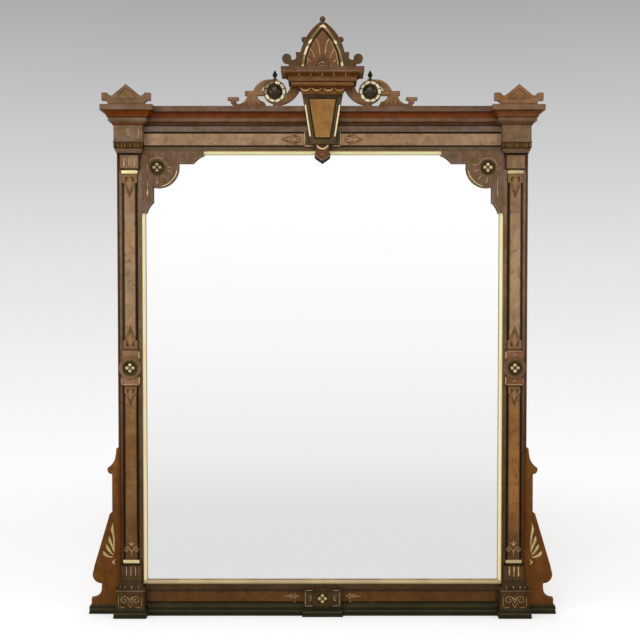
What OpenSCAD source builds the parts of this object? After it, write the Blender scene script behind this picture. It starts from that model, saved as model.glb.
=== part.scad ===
// Tall pier mirror in an architectural walnut frame: burl pilasters on plinths, a cornice between two
// capitals, a keystone with a hood and a pointed gable over it, scroll brackets, and wings at the foot.
// Millimetres, +Z up. The front faces -Y, the flat back is at +Y, the origin is under the middle.
// The modules draw in wall space, where y is the depth out from the wall, and wall() turns that round.

/* [Mirror opening] */
// Width of the mirror that shows
sight_w = 1114; // [900:1:1400]
// Height of the mirror that shows
sight_h = 1347; // [1200:1:1600]
// Width of the gilt slip round the mirror
slip_w = 10.5; // [8:0.5:14]
// Flat band on the front of the slip
slip_flat = 5; // [3:0.5:7]
// How far the slip slopes back towards the glass
slip_fall = 7; // [4:0.5:10]
// Thickness of the mirror glass
glass_t = 5; // [4:0.5:6]
// Space round the edge of the glass
glass_gap = 1; // [0.5:0.1:2]

/* [Carcase] */
// Width of a stile
stile_w = 77.5; // [76:0.5:90]
// Height of the top rail
top_rail_h = 135.5; // [132:0.5:150]
// Height of the bottom rail
bottom_rail_h = 97.5; // [92:0.5:120]
// Thickness of the stiles and rails
carcase_t = 34; // [32:1:42]
// Depth of the glass rebate from the back
rebate_d = 19; // [17:0.5:22]
// Width of the glass rebate
rebate_w = 8; // [6:0.5:10]
// Width of the lap for the backboards
board_lap = 22.5; // [18:0.5:26]
// Thickness of the backboards
board_t = 6; // [5:0.5:8]
// Number of backboards
board_n = 5; // [3:1:8]
// Gap between two backboards
board_gap = 0.8; // [0.4:0.1:0.9]
// Length of a rail's tenon
tenon_l = 30; // [20:1:45]
// Thickness of a tenon
tenon_t = 12; // [8:1:13]
// Wood left beyond a tenon
tenon_shoulder = 13; // [10:1:18]
// Clearance round a tenon
tenon_gap = 0.3; // [0.2:0.05:0.5]
// Length of a glazing block
glazing_l = 50; // [30:1:80]
// Width of a glazing block
glazing_w = 12; // [9:1:16]

/* [Pilaster] */
// From the frame's inner edge to the middle of the pilaster
pilaster_inset = 36.5; // [34:0.5:38]
// Width of the burl panel
panel_w = 36; // [28:1:38]
// Thickness of the burl panel
panel_t = 12; // [10:0.5:14]
// Width of the ebonised line beside the panel
line_w = 7; // [5:0.5:7.5]
// Thickness of the ebonised lines
line_t = 2; // [1:0.5:4]
// Width of the walnut fillet
fillet_w = 8; // [5:0.5:8.5]
// Thickness of the walnut fillet
fillet_t = 8; // [6:0.5:10]
// Thickness of the outer edge moulding
edge_t = 4; // [3:0.5:6]
// Width of the gilt bars
bar_w = 50; // [40:1:50]
// Height of the gilt bars
bar_h = 9.6; // [7:0.1:12]
// How far the gilt bars stand out
bar_t = 4; // [3:0.5:6]
// Space between a gilt bar and the block beside it
bar_gap = 3.4; // [2:0.1:6]

/* [Medallions and rosettes] */
// Height of the medallion's middle
medallion_z = 785; // [650:1:900]
// Height of the medallion block
medallion_h = 115; // [90:1:130]
// Width of the medallion block
medallion_w = 50; // [44:1:60]
// How far the medallion block stands out
medallion_t = 18; // [15:1:24]
// Radius of the medallion's disc
medallion_r = 34.5; // [30:0.5:36]
// How far the disc stands out from its block
disc_t = 4; // [3:0.5:7]
// Radius of a rosette's dark cup
cup_r = 22; // [19:0.5:24]
// Height of a rosette's cup
cup_t = 4; // [3:0.5:6]
// Depth of the hollow in a cup
cup_hollow = 2; // [1:0.5:2.5]
// Width of the rim of a cup
cup_rim = 4; // [2:0.5:4.5]
// Radius of one petal
petal_r = 7.3; // [6:0.1:7.5]
// From the middle of the rosette to the middle of a petal
petal_out = 8.2; // [7:0.1:8.8]
// Thickness of the petals
petal_t = 4; // [3:0.5:6]

/* [Carved leaves] */
// Length of a pilaster leaf
leaf_l = 75; // [60:1:90]
// Width of a pilaster leaf
leaf_w = 36; // [28:1:36]
// Thickness of a leaf
leaf_t = 4; // [3:0.5:6]
// Length of a leaf on the frieze
frieze_leaf_l = 68; // [50:1:90]
// Length of a leaf on the base panel
base_leaf_l = 52; // [40:1:70]

/* [Plinth] */
// Height of the plinth's base
plinth_base_h = 28.5; // [24:1:30]
// How far the base runs out past the scroll block
plinth_base_out = 6.3; // [4:0.1:8]
// Height of the scroll block
scroll_block_h = 53; // [44:1:56]
// Height of the fillet over the scroll block
plinth_cap_h = 7; // [5:0.5:9]
// Height of the hollow above the fillet
plinth_cove_h = 31.5; // [24:1:36]
// How far the scroll block runs out past the fluted block
plinth_out = 12.8; // [10:0.1:13]
// Height of the fluted block
fluted_h = 43.5; // [36:1:52]
// Width of the fluted block
fluted_w = 64; // [58:1:65]
// How far the fluted block stands out
fluted_t = 23; // [20:1:28]
// Radius of a flute
flute_r = 3; // [2:0.5:4]
// Spacing of the flutes and of the reeded block's grooves
flute_pitch = 15; // [12:0.5:17]

/* [Capital] */
// Height of the reeded block
reeded_h = 43; // [36:1:50]
// Width of the reeded block
reeded_w = 61; // [54:1:65]
// How far the reeded block stands out
reeded_t = 20; // [16:1:24]
// Space under the capital's foot
reeded_gap = 5.3; // [3:0.1:8]
// Height of each of the two fillets at the capital's foot
foot_h = 7.9; // [6:0.5:10]
// How far each of these fillets steps in
foot_step = 4; // [2:0.5:5]
// Height of the gadrooned band
gadroon_h = 15; // [11:0.5:18]
// Number of gadroons across the front
gadroon_n = 9; // [7:2:11]
// Height of the thin fillet above the gadroons
astragal_h = 7; // [5:0.5:9]
// Height of the capital's neck
neck_h = 48.5; // [40:1:56]
// Width of the capital's neck
neck_w = 90; // [86:1:94]
// How far the neck stands out
neck_t = 37; // [32:1:42]
// Height of the capital's slab, and of the cornice slab
slab_h = 18; // [14:0.5:22]
// How far the slab runs out past the neck
slab_out = 36; // [34:0.5:42]
// Height of the hollow under the slab
cove_h = 17.5; // [14:0.5:21]
// Height of the fillet under the hollow
bed_h = 13; // [11:0.5:16]
// How far the fillet runs out past the neck
bed_out = 14.5; // [12:0.5:17]
// Height of the small hollow under the fillet
cavetto_h = 10.8; // [8:0.5:14]
// Height of the acroterion over a capital
acroterion_h = 61.5; // [56:0.5:76]
// Width of the acroterion
acroterion_w = 150; // [130:1:156]
// Thickness of the acroterion
acroterion_t = 20; // [14:1:26]

/* [Cornice and frieze] */
// How far the cornice slab stands out from the carcase
cornice_out = 35; // [32:0.5:40]
// How far the fillet under the cornice hollow stands out
cornice_bed_out = 19; // [17:0.5:22]
// Height of the upper fascia
fascia_h = 19.5; // [16:0.5:22]
// How far the upper fascia stands out
fascia_t = 13; // [10:0.5:15]
// Height of the ebonised lines of the frieze
frieze_line_h = 5.7; // [4:0.1:7]
// How far the ebonised lines of the frieze stand out
frieze_line_t = 7; // [5:0.5:8]
// How far the burl frieze stands out
frieze_t = 9; // [8:0.5:10]
// Height of the lower fascia
architrave_h = 11.5; // [10:0.5:18]
// How far the lower fascia stands out
architrave_t = 10; // [8:0.5:12]

/* [Keystone and hood] */
// Width of the keystone at its top
keystone_w = 125; // [110:1:140]
// Width of the keystone at its foot
keystone_foot_w = 77; // [66:1:90]
// How far the keystone rises over the cornice
keystone_rise = 34; // [28:1:44]
// Height of the keystone
keystone_h = 152; // [146:1:156]
// How far the keystone stands out from the carcase
keystone_t = 42; // [38:1:48]
// Plain margin beside the keystone's panel
keystone_margin = 19.6; // [15:0.1:22]
// Plain margin below the keystone's panel
keystone_foot_margin = 19.5; // [15:0.5:24]
// Plain margin above the keystone's panel
keystone_head_margin = 15; // [12:0.5:20]
// Thickness of the keystone's panel
keystone_panel_t = 4; // [3:0.5:6]
// Width of the ebonised line round the keystone's panel
border_w = 4.5; // [3:0.5:6]
// Width of the gilt strip beside the keystone's edge
edge_strip_w = 4; // [3:0.5:5]
// Width of the tablet behind the keystone
tablet_w = 117; // [108:1:130]
// How far the tablet stands out
tablet_t = 16; // [13:1:20]
// Width of the pendant
pendant_w = 50; // [40:1:60]
// Length of the pendant below the apron
pendant_l = 34.5; // [30:0.5:50]
// Thickness of the apron and the pendant
pendant_t = 20; // [14:1:26]
// Height of the scalloped band
scallop_h = 21.5; // [18:1:26]
// How far the scalloped band runs out at its top
scallop_out = 15.5; // [12:0.5:20]
// Number of scallops
scallop_n = 4; // [3:1:6]
// How far the hood's slab runs out past the keystone
hood_out = 64.5; // [60:0.5:72]
// Height of the hood's slab
hood_slab_h = 15.4; // [12:0.1:20]
// Height of the hood's hollow
hood_cove_h = 13.4; // [11:0.5:18]
// Height of each of the hood's two fillets
hood_fillet_h = 12.4; // [10:0.5:16]

/* [Gable] */
// Half width of the gable's arch
gable_half = 71; // [62:1:80]
// Radius of the gable's arch
gable_r = 146.5; // [130:0.5:160]
// Height of the gable's straight foot
gable_spring = 29.2; // [26:0.1:36]
// Thickness of the gable
gable_t = 20; // [16:1:24]
// Depth of the recess for the gable's panel
gable_recess = 7; // [5:0.5:9]
// Thickness of the gable's panel
gable_panel_t = 3; // [2:0.5:4]
// Plain edge outside the gilt band at its foot
gable_edge = 6; // [4:0.1:8]
// Radius of the gilt band's arch
lancet_r = 193.5; // [185:0.5:205]
// Width of the gable's gilt band
gable_band_w = 7; // [5:0.5:9]
// Width of the ebonised line inside the band
gable_line_w = 6; // [4:0.5:7]
// Radius of the ball finials
ball_r = 9; // [8:0.1:11]
// Radius of the scroll at each end of the gable
ear_r = 14.4; // [12:0.1:16]

/* [Scroll brackets] */
// From the keystone's side to the middle of a scroll
scroll_gap = 85.9; // [83:0.1:96]
// Height of the scroll's middle over the cornice
scroll_z = 45.5; // [42:0.5:48]
// Outer radius of the scroll
scroll_r = 36; // [33:0.5:38]
// Thickness of a bracket
scroll_t = 20; // [14:1:24]
// Radius of the dark boss
boss_r = 23; // [19:0.5:24]
// Width of the gilt ring round the boss
ring_w = 9.4; // [6:0.2:10]
// Number of lengths in a gilt ring
ring_n = 10; // [6:1:12]
// Height of a spire over its scroll
spire_h = 31; // [24:1:40]

/* [Wings] */
// Height of a wing's top
wing_top = 530.5; // [480:1:580]
// Width of a wing at its foot
wing_w = 89; // [80:1:100]
// Thickness of a wing
wing_t = 22; // [16:1:26]
// Depth of a wing's face from the wall
wing_face = 31; // [27:0.5:33]
// Height of the moulding under a wing
wing_base_h = 30; // [26:1:34]

/* [Base] */
// Height of the base moulding
base_h = 40; // [34:1:42]
// How far the base moulding stands out
base_out = 20; // [17:0.5:24]
// Height of the ebonised line over the base moulding
base_line_h = 3; // [2:0.5:5]
// Height of the burl panel in the base
base_panel_h = 34; // [28:0.5:36]
// How far the panel of the base stands out
base_panel_t = 8; // [7:0.5:9]
// How far the fascia over the panel stands out
base_fascia_t = 12; // [10:0.5:14]
// Half width of the base tablet
base_tablet_half = 58.5; // [50:0.5:66]
// Radius of the disc on the base tablet
base_disc_r = 33; // [28:0.5:34]
// How far the base tablet stands out
base_tablet_t = 28; // [24:1:32]

/* [Hanging] */
// From the frame's outer edge to the middle of a hanger plate
hanger_inset = 27; // [25:0.5:31]
// Height of the hanger plates below the frame's top
hanger_drop = 190; // [180:5:400]
// Width of a hanger plate
hanger_w = 38; // [32:1:42]
// Height of a hanger plate
hanger_h = 90; // [80:1:110]
// Thickness of a hanger plate
hanger_t = 2.5; // [2:0.5:4]
// Radius of the round part of a keyhole
keyhole_r = 7; // [6:0.5:8]
// Width of the slot of a keyhole
keyhole_slot = 7; // [5:0.5:8]
// Radius of a screw's shank
screw_r = 2; // [1.5:0.1:2.5]
// Radius of a screw's head
screw_head_r = 4; // [3.2:0.1:4.5]
// Length of a screw
screw_l = 20; // [14:1:22]

/* [Hidden] */
$fn = 72;

// Colours
walnut = [0.36, 0.27, 0.22];
red_walnut = [0.42, 0.19, 0.11];
burl = [0.55, 0.38, 0.25];
ebony = [0.13, 0.11, 0.09];
gold = [0.86, 0.74, 0.44];
pine = [0.74, 0.62, 0.45];
steel = [0.45, 0.45, 0.45];
silver = [0.85, 0.88, 0.90];

// Widths: half widths and distances from the middle
sight_x = sight_w / 2;
inner_x = sight_x + slip_w;
outer_x = inner_x + stile_w;
pilaster_x = inner_x + pilaster_inset;
rail_end = pilaster_x - neck_w / 2;
panel_x = panel_w / 2;
line_x = panel_x + line_w;
fillet_x = line_x + fillet_w;
scroll_block_x = fluted_w / 2 + plinth_out;

// Depths from the wall
depth = carcase_t + keystone_t + hood_out;
glass_d = rebate_d - glass_t;
slip_d = carcase_t - 1;
panel_d = carcase_t + panel_t;
medallion_d = carcase_t + medallion_t;
disc_d = medallion_d + disc_t;
neck_d = carcase_t + neck_t;
fluted_d = carcase_t + fluted_t;
acroterion_d = neck_d + slab_out - 2;
plinth_deep = 1.5;
scroll_block_d = fluted_d + plinth_out * plinth_deep;
spandrel_t = 10;
spandrel_d = slip_d + spandrel_t;
tablet_d = carcase_t + tablet_t;
keystone_d = carcase_t + keystone_t;
base_tablet_d = carcase_t + base_tablet_t;
crest_back = 10;
gable_d = crest_back + 56;
scroll_d = carcase_t + 24;
scroll_x = keystone_w / 2 + scroll_gap;
scroll_k = scroll_r / 36;
spire_foot = 38 * scroll_k;
spire_k = spire_h / 31;

// Heights
frame_z0 = bottom_rail_h;
sight_z0 = frame_z0 + slip_w;
sight_z1 = sight_z0 + sight_h;
frame_z1 = sight_z1 + slip_w;
top_z = frame_z1 + top_rail_h;
scroll_block_z1 = plinth_base_h + scroll_block_h;
fluted_z0 = scroll_block_z1 + plinth_cap_h + plinth_cove_h;
fluted_z1 = fluted_z0 + fluted_h;
neck_z1 = top_z - slab_h - cove_h - bed_h - cavetto_h;
neck_z0 = neck_z1 - neck_h;
gadroon_z1 = neck_z0 - astragal_h;
gadroon_z0 = gadroon_z1 - gadroon_h;
capital_z0 = gadroon_z0 - 2 * foot_h;
reeded_z1 = capital_z0 - reeded_gap;
reeded_z0 = reeded_z1 - reeded_h;
bed_z1 = top_z - slab_h - cove_h;
fascia_z1 = bed_z1 - bed_h - cavetto_h + 2;
fascia_z0 = fascia_z1 - fascia_h;
architrave_z1 = frame_z1 + architrave_h;
frieze_mid = (fascia_z0 + architrave_z1) / 2;
keystone_z1 = top_z + keystone_rise;
keystone_z0 = keystone_z1 - keystone_h;
hood_z0 = keystone_z1 + scallop_h;
hood_z1 = hood_z0 + 2 * hood_fillet_h + hood_cove_h + hood_slab_h;
gable_centre = gable_r - gable_half;
gable_apex = gable_spring + sqrt(gable_r * gable_r - gable_centre * gable_centre);
lancet_centre = lancet_r - gable_half + gable_edge;
gable_flat = 5;
ball_neck = 2;
base_line_z1 = base_h + base_line_h;
base_panel_z1 = base_line_z1 + base_panel_h;
base_mid = (base_h + base_panel_z1) / 2;
tablet_foot = 23.5;
hanger_x = outer_x - hanger_inset;
hanger_z = top_z - hanger_drop;
board_x = inner_x + board_lap - glass_gap / 2;
board_z0 = frame_z0 - board_lap + glass_gap / 2;
board_z1 = frame_z1 + board_lap - glass_gap / 2;
lap_mid = (rebate_w + board_lap) / 2;

// Moulding rows from the top down: height, run-out at the foot, run-out at the head, hollow.
// The hollow is the radius of its arc over the length of its chord, or 0 for a straight face.
capital_rows = [[slab_h, slab_out, slab_out, 0], [cove_h, bed_out + 4.5, slab_out - 4, 0.7],
    [bed_h, bed_out, bed_out, 0], [cavetto_h * 0.64, 6, bed_out - 2.5, 0.7],
    [cavetto_h * 0.36, 3.5, 3.5, 0]];
cornice_rows = [[slab_h, cornice_out, cornice_out, 0],
    [cove_h, cornice_bed_out + 1.5, cornice_out - 4.5, 0.7]];
bed_rows = [[bed_h, cornice_bed_out, cornice_bed_out, 0],
    [cavetto_h - 2, fascia_t + 0.5, cornice_bed_out - 2, 0.7]];
hood_rows = [[hood_slab_h, hood_out, hood_out, 0],
    [hood_cove_h, hood_out * 0.674, hood_out * 0.876, 0.7],
    [hood_fillet_h, hood_out * 0.659, hood_out * 0.659, 0],
    [hood_fillet_h, hood_out * 0.512, hood_out * 0.512, 0]];
scallop_rows = [[scallop_h, 0.5, scallop_out, 0.9]];
plinth_rows = [[plinth_cove_h, plinth_out, 0.5, 0.75], [plinth_cap_h, plinth_out + 1, plinth_out + 1, 0],
    [scroll_block_h, plinth_out, plinth_out, 0]];
plinth_base_rows = [[plinth_base_h * 0.28, plinth_base_out, 2, 0.8],
    [plinth_base_h * 0.51, plinth_base_out, plinth_base_out, 0],
    [plinth_base_h * 0.21, plinth_base_out + 0.7, plinth_base_out + 0.7, 0]];
base_foot_rows = [[3, base_out, base_out, 0], [tablet_foot - 11, base_out - 3, base_out - 3, 0],
    [8, base_out, base_out, 0]];
base_rows = concat([[base_h - tablet_foot, base_out - 4, base_out - 12, 0.8]], base_foot_rows);
tablet_base_rows = [[3, 6, 6, 0], [tablet_foot - 11, 4, 4, 0], [8, 6, 6, 0]];
wing_base_rows = [[6, 7, 2, 0], [wing_base_h - 12, 7, 7, 0], [6, 8, 8, 0]];
wing_base_deep = (carcase_t - wing_face) / 8;

// Rosettes: where their middles are, and the face that each sits on
boss_in = 49.5;
boss_down = 52;
spandrel_r = 66;
rosettes = [[-pilaster_x, medallion_z, disc_d], [pilaster_x, medallion_z, disc_d],
    [-inner_x + boss_in, frame_z1 - boss_down, spandrel_d],
    [inner_x - boss_in, frame_z1 - boss_down, spandrel_d],
    [0, base_mid, base_tablet_d + disc_t]];

// Screws: across, height, and the direction in which each enters is always out from the wall
function board_middle(i) = (i + 0.5) * 2 * board_x / board_n - board_x;
end_screws = [for (i = [0 : board_n - 1]) for (z = [frame_z0 - lap_mid, frame_z1 + lap_mid])
    [board_middle(i), z]];
side_screws = [for (s = [-1, 1]) for (k = [0.25, 0.5, 0.75])
    [s * (inner_x + lap_mid), frame_z0 + k * (frame_z1 - frame_z0)]];
hanger_screws = [for (s = [-1, 1]) for (k = [-1, 1])
    [s * hanger_x, hanger_z + k * (hanger_h / 2 - 10)]];
screw_places = concat(end_screws, side_screws, hanger_screws);
screw_gap = 0.2;

// Turns wall space into the part's own frame
module wall() translate([0, depth / 2, 0]) mirror([0, 1, 0]) children();

// Extrudes a front view, drawn as across and up, between two depths
module plate(d0, d1) translate([0, d1, 0]) rotate([90, 0, 0]) linear_extrude(d1 - d0) children();

// Extrudes a side section, drawn as depth and up, between two places across
module run_x(x0, x1) translate([x0, 0, 0]) rotate([90, 0, 90]) linear_extrude(x1 - x0) children();

// Extrudes a plan, drawn as across and depth, between two heights
module run_z(z0, z1) translate([0, 0, z0]) linear_extrude(z1 - z0) children();

module box(x0, x1, d0, d1, z0, z1) translate([x0, d0, z0]) cube([x1 - x0, d1 - d0, z1 - z0]);

module area(x0, x1, z0, z1) translate([x0, z0]) square([x1 - x0, z1 - z0]);

// Draws a shape and its mirror image about the middle
module pair() {
    children();
    mirror([1, 0, 0]) children();
}

// Keeps a right-hand piece, or turns it into the left-hand one
module on_side(s) {
    if (s < 0) mirror([1, 0, 0]) children();
    else children();
}

// Draws a shape at both pilasters, mirrored on the left
module at_pilasters() pair() translate([pilaster_x, 0, 0]) children();

// Middle of the arc from a to b that bulges to the left, with its radius over the chord's length
function arc_middle(a, b, k) = (a + b) / 2 + [b[1] - a[1], a[0] - b[0]] * sqrt(k * k - 0.25);

// The round that hollows out the edge from a to b
module hollow(a, b, k) translate(arc_middle(a, b, k)) circle(k * norm(b - a));

function sum_heights(rows, n) = n <= 0 ? 0 : rows[n - 1][0] + sum_heights(rows, n - 1);

function reach(rows) = max([for (row = rows) max(row[1], row[2])]);

// Section of a moulding: its rows hang from top, and run out from face
module section(rows, top, from, face, deep = 1) {
    for (i = [0 : len(rows) - 1]) {
        z1 = top - sum_heights(rows, i);
        z0 = z1 - rows[i][0];
        low = [face + rows[i][1] * deep, z0];
        high = [face + rows[i][2] * deep, z1];
        difference() {
            polygon([[from, z0], low, high, [from, z1]]);
            if (rows[i][3] > 0) hollow(low, high, rows[i][3]);
        }
    }
}

// A block whose moulding runs along its front and returns along both sides, mitred at the corners
module mitred(rows, top, half_w, front, deep = 1) {
    out = reach(rows);
    intersection() {
        plate(0, front + out * deep) pair() section(rows, top, 0, half_w);
        run_x(-half_w - out, half_w + out) section(rows, top, 0, front, deep);
    }
}

// Everything behind the face of the carcase
module behind_carcase() box(-outer_x * 2, outer_x * 2, -1, carcase_t, -1, top_z * 2);

// A countersunk screw that enters from the back, grown by gap where it cuts its hole
module screw(x, z, gap) {
    head_h = 2.4;
    translate([x, -gap, z]) rotate([-90, 0, 0]) {
        cylinder(h = head_h, r1 = screw_head_r + gap, r2 = screw_r + gap);
        translate([0, 0, head_h]) cylinder(h = screw_l - head_h + 2 * gap, r = screw_r + gap);
    }
}

module screw_holes() for (place = screw_places) screw(place[0], place[1], screw_gap);

// Rebates for the glass and for the backboards, cut into stiles and rails alike
module rebates() {
    plate(-1, rebate_d) area(-inner_x - rebate_w, inner_x + rebate_w, frame_z0 - rebate_w,
        frame_z1 + rebate_w);
    plate(-1, board_t) area(-inner_x - board_lap, inner_x + board_lap, frame_z0 - board_lap,
        frame_z1 + board_lap);
}

// Both tenons of a rail, or with a gap their mortises
module tenons(z0, z1, gap) {
    middle = carcase_t - tenon_t / 2 - 8;
    reach_x = inner_x + tenon_l + gap;
    box(-reach_x, reach_x, middle - tenon_t / 2 - gap, middle + tenon_t / 2 + gap, z0 - gap, z1 + gap);
}

module top_tenons(gap) tenons(frame_z1 + board_lap + 12, top_z - tenon_shoulder, gap);

module bottom_tenons(gap) tenons(tenon_shoulder, frame_z0 - board_lap - 12, gap);

module stile(s) {
    difference() {
        on_side(s) box(inner_x, outer_x, 0, carcase_t, 0, top_z);
        rebates();
        top_tenons(tenon_gap);
        bottom_tenons(tenon_gap);
        on_side(s) hanger_recess();
        screw_holes();
    }
}

module stile_left() color(walnut) wall() stile(-1);

module stile_right() color(walnut) wall() stile(1);

module top_rail() {
    color(walnut) wall() difference() {
        union() {
            box(-inner_x, inner_x, 0, carcase_t, frame_z1, top_z);
            top_tenons(0);
        }
        rebates();
        screw_holes();
    }
}

module bottom_rail() {
    color(walnut) wall() difference() {
        union() {
            box(-inner_x, inner_x, 0, carcase_t, 0, frame_z0);
            bottom_tenons(0);
        }
        rebates();
        screw_holes();
    }
}

module mirror_plate() {
    edge = rebate_w - glass_gap;
    color(silver) wall() plate(glass_d, rebate_d)
        area(-inner_x - edge, inner_x + edge, frame_z0 - edge, frame_z1 + edge);
}

module backboards() {
    step = 2 * board_x / board_n;
    color(pine) wall() difference() {
        for (i = [0 : board_n - 1])
            box(i * step - board_x + board_gap / 2, (i + 1) * step - board_x - board_gap / 2,
                0, board_t, board_z0, board_z1);
        screw_holes();
    }
}

// Short softwood blocks glued in the rebate, which hold the glass forward
module glazing_blocks() {
    edge_x = inner_x + rebate_w;
    edge_z0 = frame_z0 - rebate_w;
    edge_z1 = frame_z1 + rebate_w;
    color(pine) wall() {
        pair() for (k = [0.1 : 0.2 : 0.91])
            translate([edge_x - glazing_w, board_t, edge_z0 + k * (edge_z1 - edge_z0) - glazing_l / 2])
                cube([glazing_w, glass_d - board_t, glazing_l]);
        for (k = [-0.7, -0.25, 0.25, 0.7]) for (z = [edge_z0, edge_z1 - glazing_w])
            translate([k * inner_x - glazing_l / 2, board_t, z])
                cube([glazing_l, glass_d - board_t, glazing_w]);
    }
}

module back_screws() color(steel) wall() for (place = screw_places) screw(place[0], place[1], 0);

module keyhole() {
    circle(keyhole_r);
    area(-keyhole_slot / 2, keyhole_slot / 2, 0, keyhole_r + 12);
}

module hanger_recess() {
    box(hanger_x - hanger_w / 2, hanger_x + hanger_w / 2, -1, hanger_t,
        hanger_z - hanger_h / 2, hanger_z + hanger_h / 2);
    box(hanger_x - keyhole_r - 3, hanger_x + keyhole_r + 3, -1, hanger_t + 12,
        hanger_z - keyhole_r - 3, hanger_z + keyhole_r + 16);
}

module hanger_plates() {
    color(steel) wall() pair() difference() {
        translate([hanger_x, 0, hanger_z]) plate(0, hanger_t) difference() {
            area(-hanger_w / 2, hanger_w / 2, -hanger_h / 2, hanger_h / 2);
            keyhole();
        }
        screw_holes();
    }
}

// Three-cornered blocks behind the crest board, the gable and the acroteria
module glue_block(x, d, z, leg) {
    translate([x - 20, 0, 0]) run_x(0, 40) polygon([[d, z], [d - leg, z], [d, z + leg]]);
}

module glue_blocks() {
    color(pine) wall() pair() {
        glue_block(25, crest_back, top_z, crest_back);
        glue_block(50, gable_d - gable_t, hood_z1, 14);
        glue_block(pilaster_x, acroterion_d - acroterion_t, top_z, 14);
    }
}

// Gilt slip: four lengths of one section, mitred at the corners
module slip_section(edge, way) {
    polygon([[edge, rebate_d], [edge + way * slip_w, rebate_d], [edge + way * slip_w, slip_d],
        [edge + way * (slip_w - slip_flat), slip_d], [edge, slip_d - slip_fall]]);
}

module gilt_slip() {
    mid_z = (sight_z0 + sight_z1) / 2;
    color(gold) wall() {
        pair() intersection() {
            run_z(frame_z0, frame_z1) slip_section(sight_x, 1);
            plate(0, carcase_t) polygon([[sight_x, sight_z0], [inner_x, frame_z0],
                [inner_x, frame_z1], [sight_x, sight_z1]]);
        }
        for (end = [0, 1]) translate([0, 0, mid_z]) mirror([0, 0, end]) translate([0, 0, -mid_z])
            intersection() {
                run_x(-inner_x, inner_x) rotate(90) mirror([0, 1]) slip_section(sight_z1, 1);
                plate(0, carcase_t) polygon([[-sight_x, sight_z1], [-inner_x, frame_z1],
                    [inner_x, frame_z1], [sight_x, sight_z1]]);
            }
    }
}

// Outline of a spandrel from its outer top corner: in from the stile, and down from the rail
module spandrel_outline() {
    long = 195;
    side_w = 33.5;
    top_h = 37.5;
    tip = 12;
    slant = 35;
    difference() {
        union() {
            polygon([[0, 0], [long, 0], [long, tip], [long - slant, top_h], [side_w, top_h],
                [side_w, long - slant], [tip, long], [0, long]]);
            intersection() {
                translate([boss_in - 1, boss_down - 4]) circle(spandrel_r);
                area(0, long, 0, long);
            }
        }
        hollow([long, tip], [long - slant, top_h], 1.8);
        hollow([side_w, long - slant], [tip, long], 1.8);
    }
}

module spandrel(s) {
    on_side(s) translate([inner_x, 0, frame_z1]) mirror([1, 0, 0]) mirror([0, 0, 1])
        plate(slip_d, spandrel_d) spandrel_outline();
}

module spandrel_left() color(walnut) wall() spandrel(-1);

module spandrel_right() color(walnut) wall() spandrel(1);

// Front view of a medallion, about the middle of its pilaster
module medallion_outline() {
    area(-medallion_w / 2, medallion_w / 2, medallion_z - medallion_h / 2, medallion_z + medallion_h / 2);
    translate([0, medallion_z]) circle(medallion_r);
}

module medallion(s) {
    on_side(s) translate([pilaster_x, 0, 0]) {
        plate(carcase_t, medallion_d) medallion_outline();
        plate(medallion_d, disc_d) translate([0, medallion_z]) circle(medallion_r);
    }
}

module medallion_left() color(walnut) wall() medallion(-1);

module medallion_right() color(walnut) wall() medallion(1);

// The burl panel of a pilaster, in a length below its medallion and one above
module pilaster_panel(s) {
    on_side(s) translate([pilaster_x, 0, 0]) plate(carcase_t, panel_d) difference() {
        area(-panel_x, panel_x, fluted_z1, reeded_z0);
        medallion_outline();
    }
}

module pilaster_panel_left() color(burl) wall() pilaster_panel(-1);

module pilaster_panel_right() color(burl) wall() pilaster_panel(1);

module pilaster_fillets() {
    color(walnut) wall() at_pilasters() plate(carcase_t, carcase_t + fillet_t) difference() {
        union() {
            area(line_x, fillet_x, fluted_z1, reeded_z0);
            area(-pilaster_inset, -line_x, fluted_z1, reeded_z0);
        }
        medallion_outline();
    }
}

module edge_mouldings() {
    color(red_walnut) wall() pair() difference() {
        run_z(fluted_z0, capital_z0) polygon([[pilaster_x + fillet_x, carcase_t],
            [outer_x, carcase_t], [outer_x, carcase_t + edge_t / 2],
            [(pilaster_x + fillet_x + outer_x) / 2, carcase_t + edge_t],
            [pilaster_x + fillet_x, carcase_t + edge_t / 2]]);
        translate([pilaster_x, 0, 0]) plate(0, depth) medallion_outline();
    }
}

module reeded_blocks() {
    color(walnut) wall() at_pilasters() difference() {
        box(-reeded_w / 2, reeded_w / 2, carcase_t, carcase_t + reeded_t, reeded_z0, reeded_z1);
        for (i = [-1 : 1]) box(i * flute_pitch - 1.5, i * flute_pitch + 1.5,
            carcase_t + reeded_t - 1.5, carcase_t + reeded_t + 1, reeded_z0 + 9, reeded_z1 - 10);
    }
}

module fluted_blocks() {
    rim = 2;
    rim_h = 5;
    color(walnut) wall() at_pilasters() {
        difference() {
            box(-fluted_w / 2, fluted_w / 2, carcase_t, fluted_d, fluted_z0, fluted_z1);
            for (i = [-1 : 1]) translate([i * flute_pitch, fluted_d, fluted_z0 + rim_h + 2])
                cylinder(h = fluted_h - 2 * rim_h - 4, r = flute_r);
        }
        for (z = [fluted_z0, fluted_z1 - rim_h])
            box(-fluted_w / 2 - rim / 2, fluted_w / 2 + rim / 2, carcase_t, fluted_d + rim, z, z + rim_h);
    }
}

module plinth_block(s) {
    on_side(s) translate([pilaster_x, 0, 0]) difference() {
        mitred(plinth_rows, fluted_z0, fluted_w / 2, fluted_d, plinth_deep);
        behind_carcase();
    }
}

module plinth_block_left() color(walnut) wall() plinth_block(-1);

module plinth_block_right() color(walnut) wall() plinth_block(1);

module plinth_base_shape() {
    difference() {
        mitred(plinth_base_rows, plinth_base_h, scroll_block_x, scroll_block_d, plinth_deep);
        behind_carcase();
    }
}

module plinth_bases() color(ebony) wall() at_pilasters() plinth_base_shape();

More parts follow.
